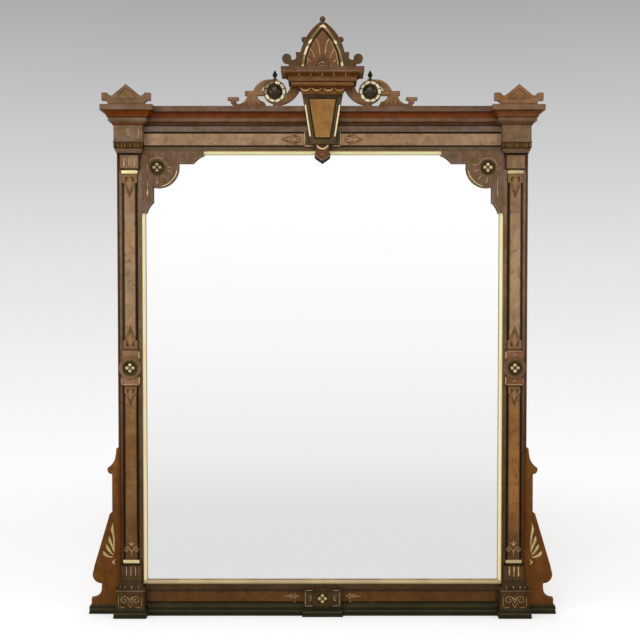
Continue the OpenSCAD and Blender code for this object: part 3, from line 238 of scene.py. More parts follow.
class Surface:
    """A mesh in the making. Grids of points are added, and build() makes one closed piece of them.
    Each point also keeps how high it stands in its own relief, 0 to 1, for the finish to read."""

    def __init__(self):
        self.points, self.heights, self.quads, self.count = [], [], [], 0

    def grid(self, points, height):
        """Adds an n by m grid that closes on itself across m."""
        n, m = points.shape[:2]
        self.quads.append(joined(n, m) + self.count)
        self.points.append(points.reshape(-1, 3))
        self.heights.append(np.broadcast_to(height, (n, m)).reshape(-1))
        self.count += n * m

    def ribbon(self, path, d, half, rise, crown=None, sink=0.5, around=16, relief=None):
        """A raised band along a path of x, z points at depth d. Going round its section by the angle a,
        a point stands cos(a) half widths to the side. Above the wood its height is rise times
        crown(cos a), by default sin(a), times the root of the width's share of the widest, and below
        the wood it is sunk by sin(a) times sink. Its relief follows its height, unless one is given."""
        path = np.asarray(path, float)
        n = len(path)
        along = np.gradient(path, axis=0)
        along /= np.maximum(np.linalg.norm(along, axis=1, keepdims=True), 1e-9)
        side = np.stack([-along[:, 1], along[:, 0]], axis=-1)
        half = np.broadcast_to(half, n)
        share = (half / max(half.max(), 1e-9))[:, None]
        across, high = np.cos(circle(around)), np.sin(circle(around))
        tall = np.sqrt(share) * np.where(high > FLAT, crown(across) if crown else high, 0)
        depth = np.broadcast_to(d, n)[:, None] + np.broadcast_to(rise, n)[:, None] * tall
        depth = depth + sink * np.minimum(high, 0) * (share > FLAT)
        flat = path[:, None] + side[:, None] * (half[:, None] * across)[..., None]
        self.grid(at(flat[..., 0], flat[..., 1], depth), tall if relief is None else relief)

    def turned(self, x, z, d, profile, around=48):
        """A turned shape that faces out from the wall: profile is rows of radius, height and relief."""
        r, rise, relief = (np.array(column)[:, None] for column in zip(*profile))
        a = circle(around)
        self.grid(at(x + r * np.cos(a), z + r * np.sin(a), d + rise), relief)

    def upright(self, x, z, d, profile):
        """A turned shape that stands up: profile is rows of radius and height above z."""
        r, rise = (np.array(column)[:, None] for column in zip(*profile))
        a = circle(40)
        self.grid(at(x + r * np.cos(a), z + rise, d + r * np.sin(a)), 0.7)

    def reflect(self):
        """Adds the mirror image of all that is there, across x = 0."""
        points, quads = np.concatenate(self.points), np.concatenate(self.quads)
        self.points.append(points * (-1, 1, 1))
        self.heights.append(np.concatenate(self.heights))
        self.quads.append(quads[:, ::-1] + self.count)
        self.count += len(points)
        return self

    def build(self, name, look, slot="gilt", replaced=()):
        """Makes the piece: its doubles are merged, its normals turned outwards, and it rides on the frame."""
        mesh = bpy.data.meshes.new(name)
        mesh.from_pydata(np.concatenate(self.points).tolist(), [], np.concatenate(self.quads).tolist())
        mesh.attributes.new("relief", "FLOAT", "POINT").data.foreach_set(
            "value", np.concatenate(self.heights).astype(np.float32))
        shell = bmesh.new()
        shell.from_mesh(mesh)
        bmesh.ops.remove_doubles(shell, verts=shell.verts, dist=MERGE)
        bmesh.ops.recalc_face_normals(shell, faces=shell.faces)
        shell.to_mesh(mesh)
        shell.free()
        mesh.shade_smooth()
        mesh.set_sharp_from_angle(angle=math.radians(SHARP))
        mesh.materials.append(finish(look))
        piece = placed(name, mesh)
        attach(piece, "root")
        if replaced:
            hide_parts(*replaced)


# Shader maths

def arithmetic(operation, turned=False):
    """A method that adds a Math node for a wire and another term. Turned, the other term comes first."""
    def method(self, other):
        terms = (other, self) if turned else (self, other)
        return self.sheet.node("ShaderNodeMath", {"operation": operation}, *terms)
    return method


class Wire:
    """A shader socket. Sums on it add Math nodes, and a number may stand before it in all but division
    and powers."""
    __add__ = __radd__ = arithmetic("ADD")
    __mul__ = __rmul__ = arithmetic("MULTIPLY")
    __sub__, __rsub__ = arithmetic("SUBTRACT"), arithmetic("SUBTRACT", turned=True)
    __truediv__, __pow__ = arithmetic("DIVIDE"), arithmetic("POWER")

    def __init__(self, sheet, socket):
        self.sheet, self.socket = sheet, socket

    def __abs__(self):
        return self.sheet.node("ShaderNodeMath", {"operation": "ABSOLUTE"}, self)

    def out(self, key):
        """Another output of the same node, by its number or name."""
        return Wire(self.sheet, self.socket.node.outputs[key])

    def between(self, low, high):
        """0 below low, 1 above high and smooth from one to the other."""
        smooth = {"interpolation_type": "SMOOTHSTEP"}
        return self.sheet.node("ShaderNodeMapRange", smooth, self, low, high, 0.0, 1.0)

    def past(self, edge):
        """0 below an edge and 1 above it, smooth over twice SOFT."""
        return self.between(edge - SOFT, edge + SOFT)

    def within(self, low, high):
        """1 from low to high and 0 outside, with both edges soft."""
        return self.past(low) * (1 - self.past(high))


class Sheet:
    """A node tree in the making. Every node is added by node()."""

    def __init__(self, tree):
        self.tree = tree
        tree.nodes.clear()

    def node(self, kind, settings=None, *values, output=0, **named):
        """Adds a node: its settings first, then values or links on its sockets in order or by name.
        Spaces in a socket's name are written as underscores, and stops is a ramp's list of stops."""
        node = self.tree.nodes.new(kind)
        for key, value in (settings or {}).items():
            if key == "stops":
                ramp = node.color_ramp
                while len(ramp.elements) < len(value):
                    ramp.elements.new(0.5)
                for element, (place, grade) in zip(ramp.elements, value):
                    element.position, element.color = place, (*grade, 1.0)
            else:
                setattr(node, key, value)
        pairs = [(node.inputs[i], v) for i, v in enumerate(values)]
        pairs += [(node.inputs[k.replace("_", " ")], v) for k, v in named.items()]
        for socket, value in pairs:
            if isinstance(value, Wire):
                self.tree.links.new(value.socket, socket)
            elif value is not None:
                wide = hasattr(socket.default_value, "__len__") and len(socket.default_value) == 4
                socket.default_value = (*value, 1.0) if wide and len(value) == 3 else value
        return Wire(self, node.outputs[output]) if len(node.outputs) else None

    def mix(self, factor, first, second, blend="MIX"):
        """A colour between two others, by a number or a wire."""
        return self.node("ShaderNodeMix", {"data_type": "RGBA", "blend_type": blend},
                         factor, None, None, None, None, None, first, second, output=2)

    def tint(self, base, red, green, blue):
        """A colour multiplied by three shares, whether it is a plain colour or a wire."""
        if isinstance(base, Wire):
            return self.mix(1.0, base, (red, green, blue), "MULTIPLY")
        return tuple(c * k for c, k in zip(base, (red, green, blue)))

    def stain(self, body, mask, share, *tints):
        """A colour with a share of its own tint laid over it where the mask is 1."""
        return self.mix(mask * share, body, self.tint(body, *tints))

    def place(self, scale=(1, 1, 1)):
        """Object coordinates in metres, scaled."""
        co = self.node("ShaderNodeTexCoord", output="Object")
        return self.node("ShaderNodeMapping", None, co, Scale=scale)

    def axes(self, kind="Object"):
        """The x, y and z of the coordinates as three wires."""
        split = self.node("ShaderNodeSeparateXYZ", None, self.node("ShaderNodeTexCoord", output=kind))
        return [split.out(i) for i in range(3)]

    def where(self):
        """Wires by name, in mm: to the right and to either side of the middle, up, and out from the wall."""
        x, y, z = self.axes()
        return {"side": x * 1000, "x": abs(x) * 1000, "z": z * 1000, "d": (WALL - y) * 1000}

    def rays(self):
        """Two wires that are 1 where the camera looks and where a mirror looks."""
        path = self.node("ShaderNodeLightPath", output="Is Camera Ray")
        return path, path.out("Is Glossy Ray")

    def noise(self, scale, detail=4.0, rough=0.5, bend=0.0, stretch=(1, 1, 1)):
        """Noise over the part, finer by its scale and by the stretch along each axis."""
        return self.node("ShaderNodeTexNoise", None, Vector=self.place(stretch), Scale=scale, Detail=detail,
                         Roughness=rough, Distortion=bend)

    def surface(self, body, rough, bump=None, sheen=0.5, **more):
        """The shader of a finish: colour, roughness, a bump of height, strength and distance, and sheen."""
        if bump:
            height, strength, distance = bump
            more["Normal"] = self.node("ShaderNodeBump", None, Strength=strength, Distance=distance,
                                       Height=height)
        self.end(self.node("ShaderNodeBsdfPrincipled", None, Base_Color=body, Roughness=rough,
                           Specular_IOR_Level=sheen, **more))

    def end(self, shader, kind="ShaderNodeOutputMaterial"):
        self.node(kind, None, shader)


# Finishes

# Over these heights a darker foot tone gives way to the lighter top tone: painted shade towards the floor.
RISE = (250.0, 1250.0)  # the heights between which a tone runs from its foot to its top, in mm


def banded(sheet, where, base, bands):
    """Lays bands on a colour: each is an axis, a low and a high end in mm, its tone, and perhaps another tone
    that it has near the floor, which where it is darker is painted shade towards the floor."""
    rise = where["z"].between(*RISE)
    for axis, low, high, light, *foot in bands:
        laid = sheet.mix(rise, tone(*foot[0]), tone(*light)) if foot else tone(*light)
        base = sheet.mix(where[axis].within(low, high), base, laid)
    return base


def wood(sheet, light, bands=(), grain="z", foot=None, sheen=0.09, disc=None):
    """Polished wood. Long thin noise along the grain makes streaks and pores, round noise makes patches that
    lean to olive or to mauve, and the tone runs from foot to light over the height: a darker foot is
    painted shade towards the floor and a lighter top is painted light. Bands are laid by banded(), disc
    is the tone of a medallion's disc, and the flat back is left raw."""
    where = sheet.where()
    stretch = {"z": (46.0, 46.0, 5.0), "x": (5.0, 46.0, 46.0)}[grain]
    streak = sheet.noise(1.0, 6.0, 0.62, 0.5, stretch)
    fine = sheet.noise(1.0, 3.0, 0.6, stretch=tuple(7 * s for s in stretch))
    patch, slow = sheet.noise(36.0, 4.0, 0.6), sheet.noise(5.0, 2.0, 0.5)
    # From the foot tone up to the light tone: a darker foot is painted shade towards the floor.
    base = sheet.mix(where["z"].between(*RISE), shade(foot or light), shade(light))
    base = banded(sheet, where, base, bands)
    if disc:
        away = ((where["x"] - PILASTER_X) ** 2 + (where["z"] - MEDALLION_Z) ** 2) ** 0.5
        base = sheet.mix(1 - away.past(DISC_RADIUS), base, tone(*disc))
    olive, mauve = sheet.tint(base, 0.86, 0.86, 0.66), sheet.tint(base, 1.12, 1.10, 1.18)
    body = sheet.mix(patch.between(0.38, 0.62), olive, mauve)
    body = sheet.stain(body, slow.between(0.35, 0.65), 0.5, 1.12, 0.98, 0.84)
    body = sheet.stain(body, 1 - streak.between(0.36, 0.58), 0.5, 0.56, 0.48, 0.42)
    pores = fine.between(0.58, 0.70)
    body = sheet.stain(body, pores, 0.45, 0.40, 0.34, 0.28)
    back = 1 - where["d"].between(0.6, 1.2)
    body = sheet.mix(back, body, tone(150, 112, 78))
    rough = 0.42 + 0.12 * patch + 0.1 * pores + back * 0.35
    sheet.surface(body, rough, (streak * 0.4 - pores, 0.25, 0.0004), sheen)


def burl(sheet, light, foot, dark_share=0.6, rims=(), deep=0.0):
    """Burl veneer: noise bent by noise makes the swirls, small round cells make the eyes. The tone darkens
    from light to foot down the height, and with deep more so near the floor, as painted shade.
    """
    where = sheet.where()
    swirl = sheet.noise(34.0, 6.0, 0.68, 1.2)
    cloud = sheet.noise(13.0, 4.0, 0.6, 1.2, (1, 1, 0.7))
    blush = sheet.noise(26.0, 5.0, 0.62, 0.3, (1, 1, 1.6))
    eyes = sheet.node("ShaderNodeTexVoronoi", None, Vector=sheet.place(), Scale=150.0)
    # Darker towards the foot, and with deep darker still near the floor: painted shade.
    base = sheet.mix(where["z"].between(560.0, 960.0), shade(foot), shade(light))
    base = sheet.mix((1 - where["z"].between(170.0, 400.0)) * deep, base, tone(88, 60, 32))
    base = banded(sheet, where, base, rims)
    dark = sheet.tint(base, 0.52, 0.42, 0.32)
    pale = sheet.tint(base, 1.20, 1.20, 1.16)
    body = sheet.mix(cloud.between(0.35, 0.65), sheet.mix(0.35, base, dark), pale)
    body = sheet.mix(blush.between(0.46, 0.62) * 0.5, body, sheet.tint(base, 1.12, 0.92, 0.66))
    body = sheet.mix(swirl.between(0.50, 0.66) * dark_share, body, dark)
    spots = (1 - eyes.between(0.05, 0.25)) * swirl.between(0.42, 0.56) * 0.6
    body = sheet.mix(spots, body, sheet.tint(base, 0.36, 0.25, 0.17))
    sheet.surface(body, 0.36 + 0.15 * cloud, (swirl, 0.12, 0.0004), 0.12)


def gadroons(sheet):
    """Gadroons stained by turns dark olive and golden red, from noise drawn out upwards."""
    turns = sheet.noise(1.0, 3.0, 0.6, stretch=(125, 20, 4))
    patch = sheet.noise(90.0, 4.0, 0.6)
    body = sheet.mix(turns.between(0.42, 0.6), tone(56, 45, 14), tone(122, 75, 20))
    body = sheet.mix((1 - sheet.where()["z"].within(1473, 1484.5)) * 0.6, body, tone(40, 28, 16))
    body = sheet.stain(body, patch.between(0.4, 0.7), 0.5, 0.6, 0.55, 0.5)
    sheet.surface(body, 0.4 + 0.15 * patch, (patch, 0.15, 0.0003), 0.2)


def carving(sheet, dark, middle, light, sheen=0.16):
    """Carved and waxed wood, coloured by the relief attribute: dark in the hollows, reddish on the slopes and
    pale on the ridges. The dark is partly dirt and partly painted shade, the pale partly wear and partly a
    painted highlight.
    """
    relief = sheet.node("ShaderNodeAttribute", {"attribute_name": "relief"}, output="Fac")
    patch = sheet.noise(60.0, 4.0, 0.6)
    pores = sheet.noise(1.0, 3.0, 0.6, stretch=(300, 300, 90)).between(0.6, 0.72)
    stops = [(0.0, tone(*dark)), (0.45, tone(*middle)), (0.95, tone(*light))]
    body = sheet.node("ShaderNodeValToRGB", {"stops": stops}, relief + (patch - 0.5) * 0.5)
    body = sheet.stain(body, pores, 0.4, 0.45, 0.38, 0.3)
    sheet.surface(body, 0.42 + 0.15 * patch, (patch - pores, 0.2, 0.0003), sheen)


def ebonised(sheet, base, bands=(), gloss=0.36, sheen=0.04, rubbed=(84, 64, 38)):
    """Black stained wood, with the grain just showing and rubbed brown in places."""
    streak, rub = sheet.noise(1.0, 5.0, 0.6, stretch=(12, 30, 30)), sheet.noise(22.0, 5.0, 0.65)
    body = banded(sheet, sheet.where(), shade(base), bands)
    body = sheet.stain(body, streak.between(0.4, 0.66), 0.5, 0.6, 0.6, 0.6)
    body = sheet.mix(rub.between(0.56, 0.74) * 0.5, body, tone(*rubbed))
    sheet.surface(body, gloss + 0.2 * rub, (streak, 0.15, 0.0003), sheen)


def gilding(sheet, base, dull, worn, spread, bands=(), arch=(), painted_glow=0.0):
    """Gold leaf on a red ground: bright leaf, duller where it is rubbed, with the ground showing in specks.
    Over the hood only the lengths in arch are still bright: a side (-1 or 1), a low and a high end in mm.
    The last argument is the strength of an emission of the gold's own colour: a painted glow, not a lamp."""
    where = sheet.where()
    wear, speck = sheet.noise(spread, 5.0, 0.6), sheet.noise(240.0, 3.0, 0.6)
    body = sheet.mix(wear.between(0.42, 0.62) * worn, banded(sheet, where, shade(base), bands), tone(*dull))
    if arch:
        rubbed = sheet.mix(wear.between(0.4, 0.6), tone(160, 130, 76), tone(114, 90, 46))
        for side, low, high in arch:
            kept = where["z"].within(GABLE_Z + low, GABLE_Z + high)
            kept = kept * (where["side"] * side).between(-1.0, 1.0)
            rubbed = sheet.mix(kept, rubbed, tone(230, 208, 158))
        body = sheet.mix(where["z"].between(GABLE_Z - 4, GABLE_Z), body, rubbed)
    body = sheet.mix(speck.between(0.60, 0.68) * wear.between(0.45, 0.62) * worn, body, tone(124, 74, 40))
    # The emission strength from the last argument makes the gold glow: painted light.
    sheet.surface(body, 0.36 + 0.2 * wear, (speck, 0.1, 0.0002), 0.4, Metallic=0.12, Emission_Color=body,
                  Emission_Strength=painted_glow)


def silvered(sheet, base):
    """A silvered plate with faint clouding."""
    cloud = sheet.noise(6.0, 3.0, 0.5).between(0.5, 0.8)
    sheet.surface(sheet.mix(cloud * 0.03, shade(base), tone(226, 228, 224)), 0.015, Metallic=1.0)


def raw_pine(sheet, base):
    """Sawn softwood with growth lines and age marks."""
    ring, age = sheet.noise(1.0, 4.0, 0.55, 1.0, (40, 40, 3)), sheet.noise(6.0, 4.0, 0.6)
    body = sheet.mix(ring.between(0.42, 0.6) * 0.55, shade(base), sheet.tint(shade(base), 0.6, 0.6, 0.6))
    body = sheet.mix(age.between(0.45, 0.75) * 0.5, body, tone(120, 92, 62))
    sheet.surface(body, 0.72 + 0.1 * ring, (ring, 0.3, 0.0006), 0.2)


def steel(sheet):
    """Dull steel with brown stains."""
    stain = sheet.noise(60.0, 5.0, 0.6)
    body = sheet.mix(stain.between(0.45, 0.7), tone(120, 116, 108), tone(86, 62, 44))
    sheet.surface(body, 0.4 + 0.3 * stain, (stain, 0.1, 0.0002), Metallic=0.8)


DARK_LINE = (44, 34, 22)
# Bands of the pilaster burl: darker at z 1270–1400, painted shade under the capitals, and darker along the
# panel's edges.
PANEL_EDGES_AND_TOP_SHADE = [("z", 1270, 1400, (146, 118, 90)), ("x", 584, 588.5, (92, 70, 48)), ("x", 619.5, 624, (92, 70, 48))]

# Every finish: the CAD parts that it lies on, the function that makes it, and what that function is given.
FINISHES = {
    "upright": ("stile_left stile_right", wood, (131, 111, 94), (), "z", (88, 67, 36)),
    "fillets": ("pilaster_fillets", wood, (122, 103, 82), [
        ("x", 604, 640, (122, 105, 86), (72, 50, 28))], "z", (86, 64, 36)),
    "reeded": ("reeded_blocks", wood, (138, 112, 88), [
        ("x", 568, 576.5, (92, 58, 38)), ("x", 632, 640, (92, 58, 38)), ("z", 1405, 1409.5, DARK_LINE)]),
    "medallion": ("medallion_left", wood, (146, 112, 82), [
        ("z", 725, 730, (70, 52, 34)), ("z", 840, 845, (70, 52, 34))], "z", None, 0.09, (132, 107, 82)),
    "medallion_red": ("medallion_right", wood, (132, 92, 66), [
        ("z", 725, 730, (70, 48, 32)), ("z", 840, 845, (70, 48, 32))], "z", None, 0.09, (116, 88, 64)),
    "gadroons": ("gadroon_bands", gadroons),
    "neck": ("capital_necks", wood, (122, 99, 78), [
        ("z", 1486, 1490, (66, 46, 28)), ("z", 1469.5, 1472, (66, 46, 28)),
        ("z", 1452, 1457, DARK_LINE)], "x"),
    "acroterion": ("acroterion_left", wood, (122, 97, 72), [
        ("z", 1598, 1603, (84, 58, 36)), ("d", 100, 103.5, (126, 100, 64))], "x"),
    "acroterion_worn": ("acroterion_right", wood, (138, 100, 72), [
        ("z", 1598, 1603, (96, 62, 38)), ("d", 100, 103.5, (138, 98, 66))], "x"),
    "across": ("top_rail bottom_rail crest_board", wood, "walnut", (), "x", "walnut_foot"),
    "fascia": ("frieze_fascia", wood, (116, 96, 84), [("z", 1541, 1545, (52, 38, 26))], "x"),
    "architrave": ("architrave", wood, (100, 82, 64), (), "x"),
    # The spandrels' returns, d 30–42.3, are painted pale to make up for their shade: painted light.
    "spandrel": ("spandrel_left spandrel_right", wood, (115, 90, 72), [
        ("d", 30, 42.3, (176, 158, 132))]),
    "capital": ("capital_cornice_left", wood, (120, 96, 76), [
        ("z", 1565.8, 1583.2, (122, 60, 6)), ("z", 1563, 1565.8, (70, 38, 10)),
        ("z", 1540, 1548, (106, 60, 20)), ("z", 1581.8, 1584.2, (66, 40, 20))], "x"),
    "capital_worn": ("capital_cornice_right", wood, (126, 98, 76), [
        ("z", 1565.8, 1583.2, (118, 72, 40)), ("z", 1563, 1565.8, (86, 56, 34)),
        ("z", 1540, 1548, (104, 68, 38)), ("z", 1581.8, 1584.2, (80, 48, 26))], "x"),
    "cornice": ("cornice", wood, (112, 87, 72), [
        ("z", 1565.5, 1583.2, (112, 58, 22)), ("z", 1581.8, 1584.2, (56, 32, 16))], "x"),
    "bed": ("bed_moulding", wood, (116, 90, 72), [
        ("z", 1543, 1556, (86, 54, 30)), ("z", 1543, 1545.5, (46, 32, 20))], "x"),
    # In the hood, the band at z 1694–1697 under the slab and the band at z 1660.5–1667.5 are painted lighter
    # to make up for their shade: painted light.
    "hood": ("hood", wood, (110, 85, 68), [
        ("z", 1681.5, 1695, (104, 68, 34)), ("z", 1686, 1691, (90, 54, 24)),
        ("z", 1694, 1697, (142, 112, 86)), ("z", 1669.5, 1681.5, (124, 90, 62)),
        ("z", 1667.5, 1669.5, (96, 62, 36)), ("z", 1660.5, 1667.5, (144, 106, 74)),
        ("z", 1655, 1660.5, (116, 76, 40))], "x", None, 0.0),
    "edge": ("edge_mouldings", wood, "red_walnut", [
        ("side", 560, 760, (112, 78, 48), (106, 55, 12))], "z", (106, 55, 12)),
    # The dark band at z 161–165 is painted shade along the top of the fluted blocks.
    "fluted": ("fluted_blocks", wood, (88, 66, 43), [
        ("z", 161, 165, (44, 34, 20)), ("x", 567, 572.5, (56, 42, 26)), ("x", 635.5, 640, (56, 42, 26))]),
    # Plinths: the lighter bands at z 83.5–87 and 116–121 are painted highlights along the edges of the fillet
    # and of the moulding over the cove, the first partly a rubbed edge.
    "plinth": ("plinth_block_left plinth_block_right", wood, (76, 57, 30), [
        ("z", 88.5, 116, (66, 52, 33)), ("z", 83.5, 87, (108, 92, 74)), ("z", 116, 121, (92, 76, 56))]),
    "gable": ("gable", wood, (88, 68, 44), [
        ("z", 1806, 1862, (92, 62, 34)), ("d", 45, 64.5, (84, 48, 26))]),
    "crest": ("keystone_tablet", wood, (90, 74, 52)),
    "pendant": ("pendant", wood, (104, 68, 42), [("d", 30, 62.5, (52, 36, 20))]),
    # The darker band at z 1625–1636 is painted shade on the top of the keystone, under the scallop band.
    "keystone": ("keystone", wood, (84, 68, 44), [("z", 1625, 1636, (64, 48, 30))]),
    "scallop": ("scallop_band", wood, (138, 98, 50), [
        ("z", 1648, 1657, (104, 56, 20)), ("z", 1634, 1636.5, (76, 50, 26))], "x"),
    "bracket": ("scroll_bracket_left scroll_bracket_right", wood, (130, 97, 66), [
        ("z", 1600, 1616, (118, 82, 60)), ("d", 30, 56.5, (74, 50, 28))]),
    "base": ("base_fascia base_tablet", wood, (74, 58, 35), [
        ("z", 76, 83, (50, 45, 34)), ("z", 83, 93, (78, 55, 32)), ("z", 20, 33.5, (47, 42, 29))], "x"),
    "wing": ("wing_left wing_right", wood, (190, 136, 80), (), "z", (108, 66, 24), 0.1),
    "pilaster_burl": ("pilaster_panel_left", burl, "burl", (130, 95, 56), 0.6, PANEL_EDGES_AND_TOP_SHADE, 1.0),
    "pilaster_burl_warm": ("pilaster_panel_right", burl, (164, 135, 104), (146, 99, 54), 0.6, PANEL_EDGES_AND_TOP_SHADE, 1.0),
    "frieze_burl": ("burl_panels", burl, (156, 127, 99), (94, 61, 26), 0.6, [
        ("x", 548, 562, (150, 118, 90), (74, 54, 28))]),
    "keystone_burl": ("keystone_panel", burl, (146, 107, 56), (146, 107, 56), 0.45),
    "gable_burl": ("gable_panel", burl, (116, 78, 44), (116, 78, 44), 0.5),
    "leaf": ("leaf_drops", carving, (66, 44, 22), (134, 98, 62), (158, 124, 82)),
    "leaf_gold": ("", carving, (92, 58, 34), (138, 96, 62), (160, 124, 80)),
    "carved_walnut": ("", carving, (84, 60, 38), (108, 82, 54), (140, 112, 78)),
    "shell": ("", carving, (90, 64, 34), (102, 74, 42), (114, 84, 50)),
    "balls": ("turned_finials", carving, (52, 38, 22), (82, 58, 34), (100, 74, 46)),
    "rosette": ("", carving, (38, 29, 12), (54, 41, 20), (84, 66, 38), 0.04),
    "black": ("rosette_cups", ebonised, "ebony"),
    "black_lines": ("ebonised_lines", ebonised, "ebony", [
        ("x", 622, 634, (86, 66, 50), (58, 38, 16)), ("x", 577, 586.2, (64, 49, 30), (46, 34, 12)),
        ("z", 1700, 1870, (62, 45, 20)), ("z", 1496, 1640, (44, 34, 16))]),
    # Base mouldings: the lighter bands at z 31–34, 25.5–28.4 and 13.5–16.5 are painted highlights on the tops
    # of the beads, partly rubbed wear.
    "black_foot": ("plinth_bases base_moulding", ebonised, (46, 42, 27), [
        ("z", 31, 34, (70, 62, 40)), ("z", 13.5, 16.5, (84, 76, 50)), ("z", 25.5, 28.4, (70, 64, 40))]),
    "black_polished": ("scroll_bosses", ebonised, (50, 37, 18), (), 0.08, 0.24, (64, 46, 22)),
    # The gilt slip's top length is painted lighter and its bottom length darker, as painted light and shade;
    # its last number is a painted glow.
    "gold_slip": ("gilt_slip", gilding, "gold", (236, 206, 142), 0.3, 9.0, [
        ("z", 1454, 1470, (255, 246, 188)), ("z", 90, 108, (190, 170, 127)),
        ("z", 1463.8, 1467, (226, 184, 100)), ("x", 566.2, 569, (212, 184, 112)),
        ("d", 10, 26.8, (120, 98, 62))], (), 0.16),
    "gold_strips": ("gilt_strips", gilding, (250, 232, 174), (122, 94, 56), 0.15, 20.0, [
        ("side", 560, 650, (208, 186, 136))], [
        (-1, 84, 96), (-1, 49, 74), (-1, 10, 18), (1, 82, 92), (1, 10, 26), (1, 132, 142), (-1, 134, 139)]),
    "gold_ring": ("scroll_rings rosette_petals", gilding, (255, 245, 206), (204, 174, 120), 0.35, 40.0),
    "gold_petals": ("", gilding, (226, 208, 162), (160, 134, 88), 0.6, 60.0, [
        ("z", 1380, 1450, (170, 150, 110)), ("z", 30, 90, (196, 174, 112)),
        ("side", 480, 560, (216, 196, 140))]),
    "gold_bold": ("", gilding, (236, 214, 160), (190, 152, 100), 0.5, 30.0),
    "gold_wing": ("", gilding, (206, 186, 128), (164, 136, 80), 0.7, 40.0),
    "gold_worn": ("", gilding, (150, 128, 90), (84, 66, 44), 0.9, 60.0, [("z", 120, 165, (214, 176, 98))]),
    "gold_faint": ("", gilding, (176, 142, 92), (140, 106, 66), 0.8, 40.0),
    "gold_line": ("", gilding, (206, 180, 134), (150, 116, 76), 0.8, 40.0),
    "gold_dull": ("", gilding, (196, 166, 130), (146, 114, 84), 0.7, 40.0),
    "silvered": ("mirror_plate", silvered, "glass"),
    "pine": ("backboards glazing_blocks glue_blocks", raw_pine, "pine"),
    "steel": ("back_screws hanger_plates", steel),
}


def finish(name):
    """The finish of that name. It is made the first time that it is asked for."""
    full = "finish_" + name
    if full not in bpy.data.materials:
        material = bpy.data.materials.new(full)
        material.use_nodes = True
        maker, *settings = FINISHES[name][1:]
        maker(Sheet(material.node_tree), *settings)
    return bpy.data.materials[full]


class PIER_OT_carcase(bpy.types.Operator):
    """Puts its finish on every part of the carcase"""
    bl_idname = "pier.carcase"
    bl_label = "Finish the carcase"

    def execute(self, context):
        todo = set(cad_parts)
        for name, (nodes, *_) in FINISHES.items():
            for node in nodes.split():
                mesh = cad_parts[node].data
                mesh.materials.clear()
                mesh.materials.append(finish(name))
                todo.discard(node)
        if todo:
            raise RuntimeError(f"no finish for {sorted(todo)}")
        return {"FINISHED"}


# Ornament

def gild(surface, lines, d, wide=1.0, swell=0.0):
    """Adds gilt lines: each is a list of x, z points, or a path already worked out, with round ends. With
    swell a line also grows towards its far end, as a stroke of a graver does."""
    sizes = bpy.context.scene.pier_sizes
    for line in lines:
        path = curve(line) if isinstance(line, list) else line
        n = len(path)
        half = sizes.gilt_line / MM * wide * rounded(n, 16) * (1 + swell * (np.linspace(0, 1, n) ** 2))
        surface.ribbon(path, d, half, sizes.gilt_rise / MM, around=8)


def dots(surface, places, d, r):
    """Adds small gilt domes of radius r."""
    dome = [(0, 0.9, 1), (0.5 * r, 0.75, 1), (0.87 * r, 0.4, 1), (r, 0, 1), (r, -0.5, 0), (0, -0.5, 0)]
    for x, z in places:
        surface.turned(x, z, d, dome, around=12)


# The five rosettes: where each stands across, up and out from the wall.
ROSETTES = ((PILASTER_X, MEDALLION_Z, DISC_D), (-PILASTER_X, MEDALLION_Z, DISC_D),
            (SPANDREL_X, SPANDREL_Z, SPANDREL_D), (-SPANDREL_X, SPANDREL_Z, SPANDREL_D),
            (0.0, TABLET_Z, TABLET_DISC_D))


class PIER_OT_rosettes(bpy.types.Operator):
    """Turns the five dark rosette cups and carves their gilt petals"""
    bl_idname = "pier.rosettes"
    bl_label = "Rosettes"

    def execute(self, context):
        s = context.scene.pier_sizes
        r, h = s.cup_radius / MM, s.cup_height / MM
        profile = [(0, 0.9, .3), (0.55 * r, 0.9, .3), (0.74 * r, 1.3, .4), (0.84 * r, 2.6, .8),
                   (0.9 * r, h, 1), (0.95 * r, h - 0.2, 1), (r, h - 1.4, .6), (r, -0.5, 0), (0, -0.5, 0)]
        cups, petals = Surface(), Surface()
        for x, z, d in ROSETTES:
            cups.turned(x, z, d, profile)
            for angle in (0, 90, 180, 270):
                petal = polar(x, z, PETAL_LENGTH * (0.12 + 0.88 * eased(20)), angle)
                petals.ribbon(petal, d + 1.0, PETAL_LENGTH * 0.40 * bud(20, 0.6), 3.0)
        cups.build("rosette_dishes", "rosette", "ebonised", ["rosette_cups"])
        petals.build("rosette_quatrefoils", "gold_petals", "gilt", ["rosette_petals"])
        return {"FINISHED"}


# A leaf, in shares of its size: the half widths of its blade at places along it, and the marks on each
# half of it, which are points along and out from the middle, half width, rise and relief. The marks of
# relief 0 stand for grooves: they are raised and painted dark, as painted shade.
BLADE = ([0, 0.06, 0.2, 0.3, 0.38, 0.5, 0.65, 0.8, 0.92, 1.0],
         [0.10, 0.14, 0.16, 0.225, 0.235, 0.19, 0.125, 0.065, 0.028, 0.0])
MARKS = (([(0.36, 0.13), (0.55, 0.085), (0.84, 0)], 0.014, 0.45, 0.0),
         ([(0.46, 0.20), (0.66, 0.115), (0.94, 0.01)], 0.010, 0.3, 0.0),
         ([(0.16, 0.06), (0.21, 0.12), (0.29, 0.155), (0.33, 0.12)], 0.026, 0.62, 0.0),
         ([(0.05, 0.05), (0.10, 0.15), (0.20, 0.215), (0.32, 0.21), (0.37, 0.15), (0.34, 0.10)],
          0.020, 0.95, 1.0),
         ([(0.03, 0), (0.16, 0.02), (0.30, 0.06), (0.36, 0.07)], 0.016, 0.85, 0.9))


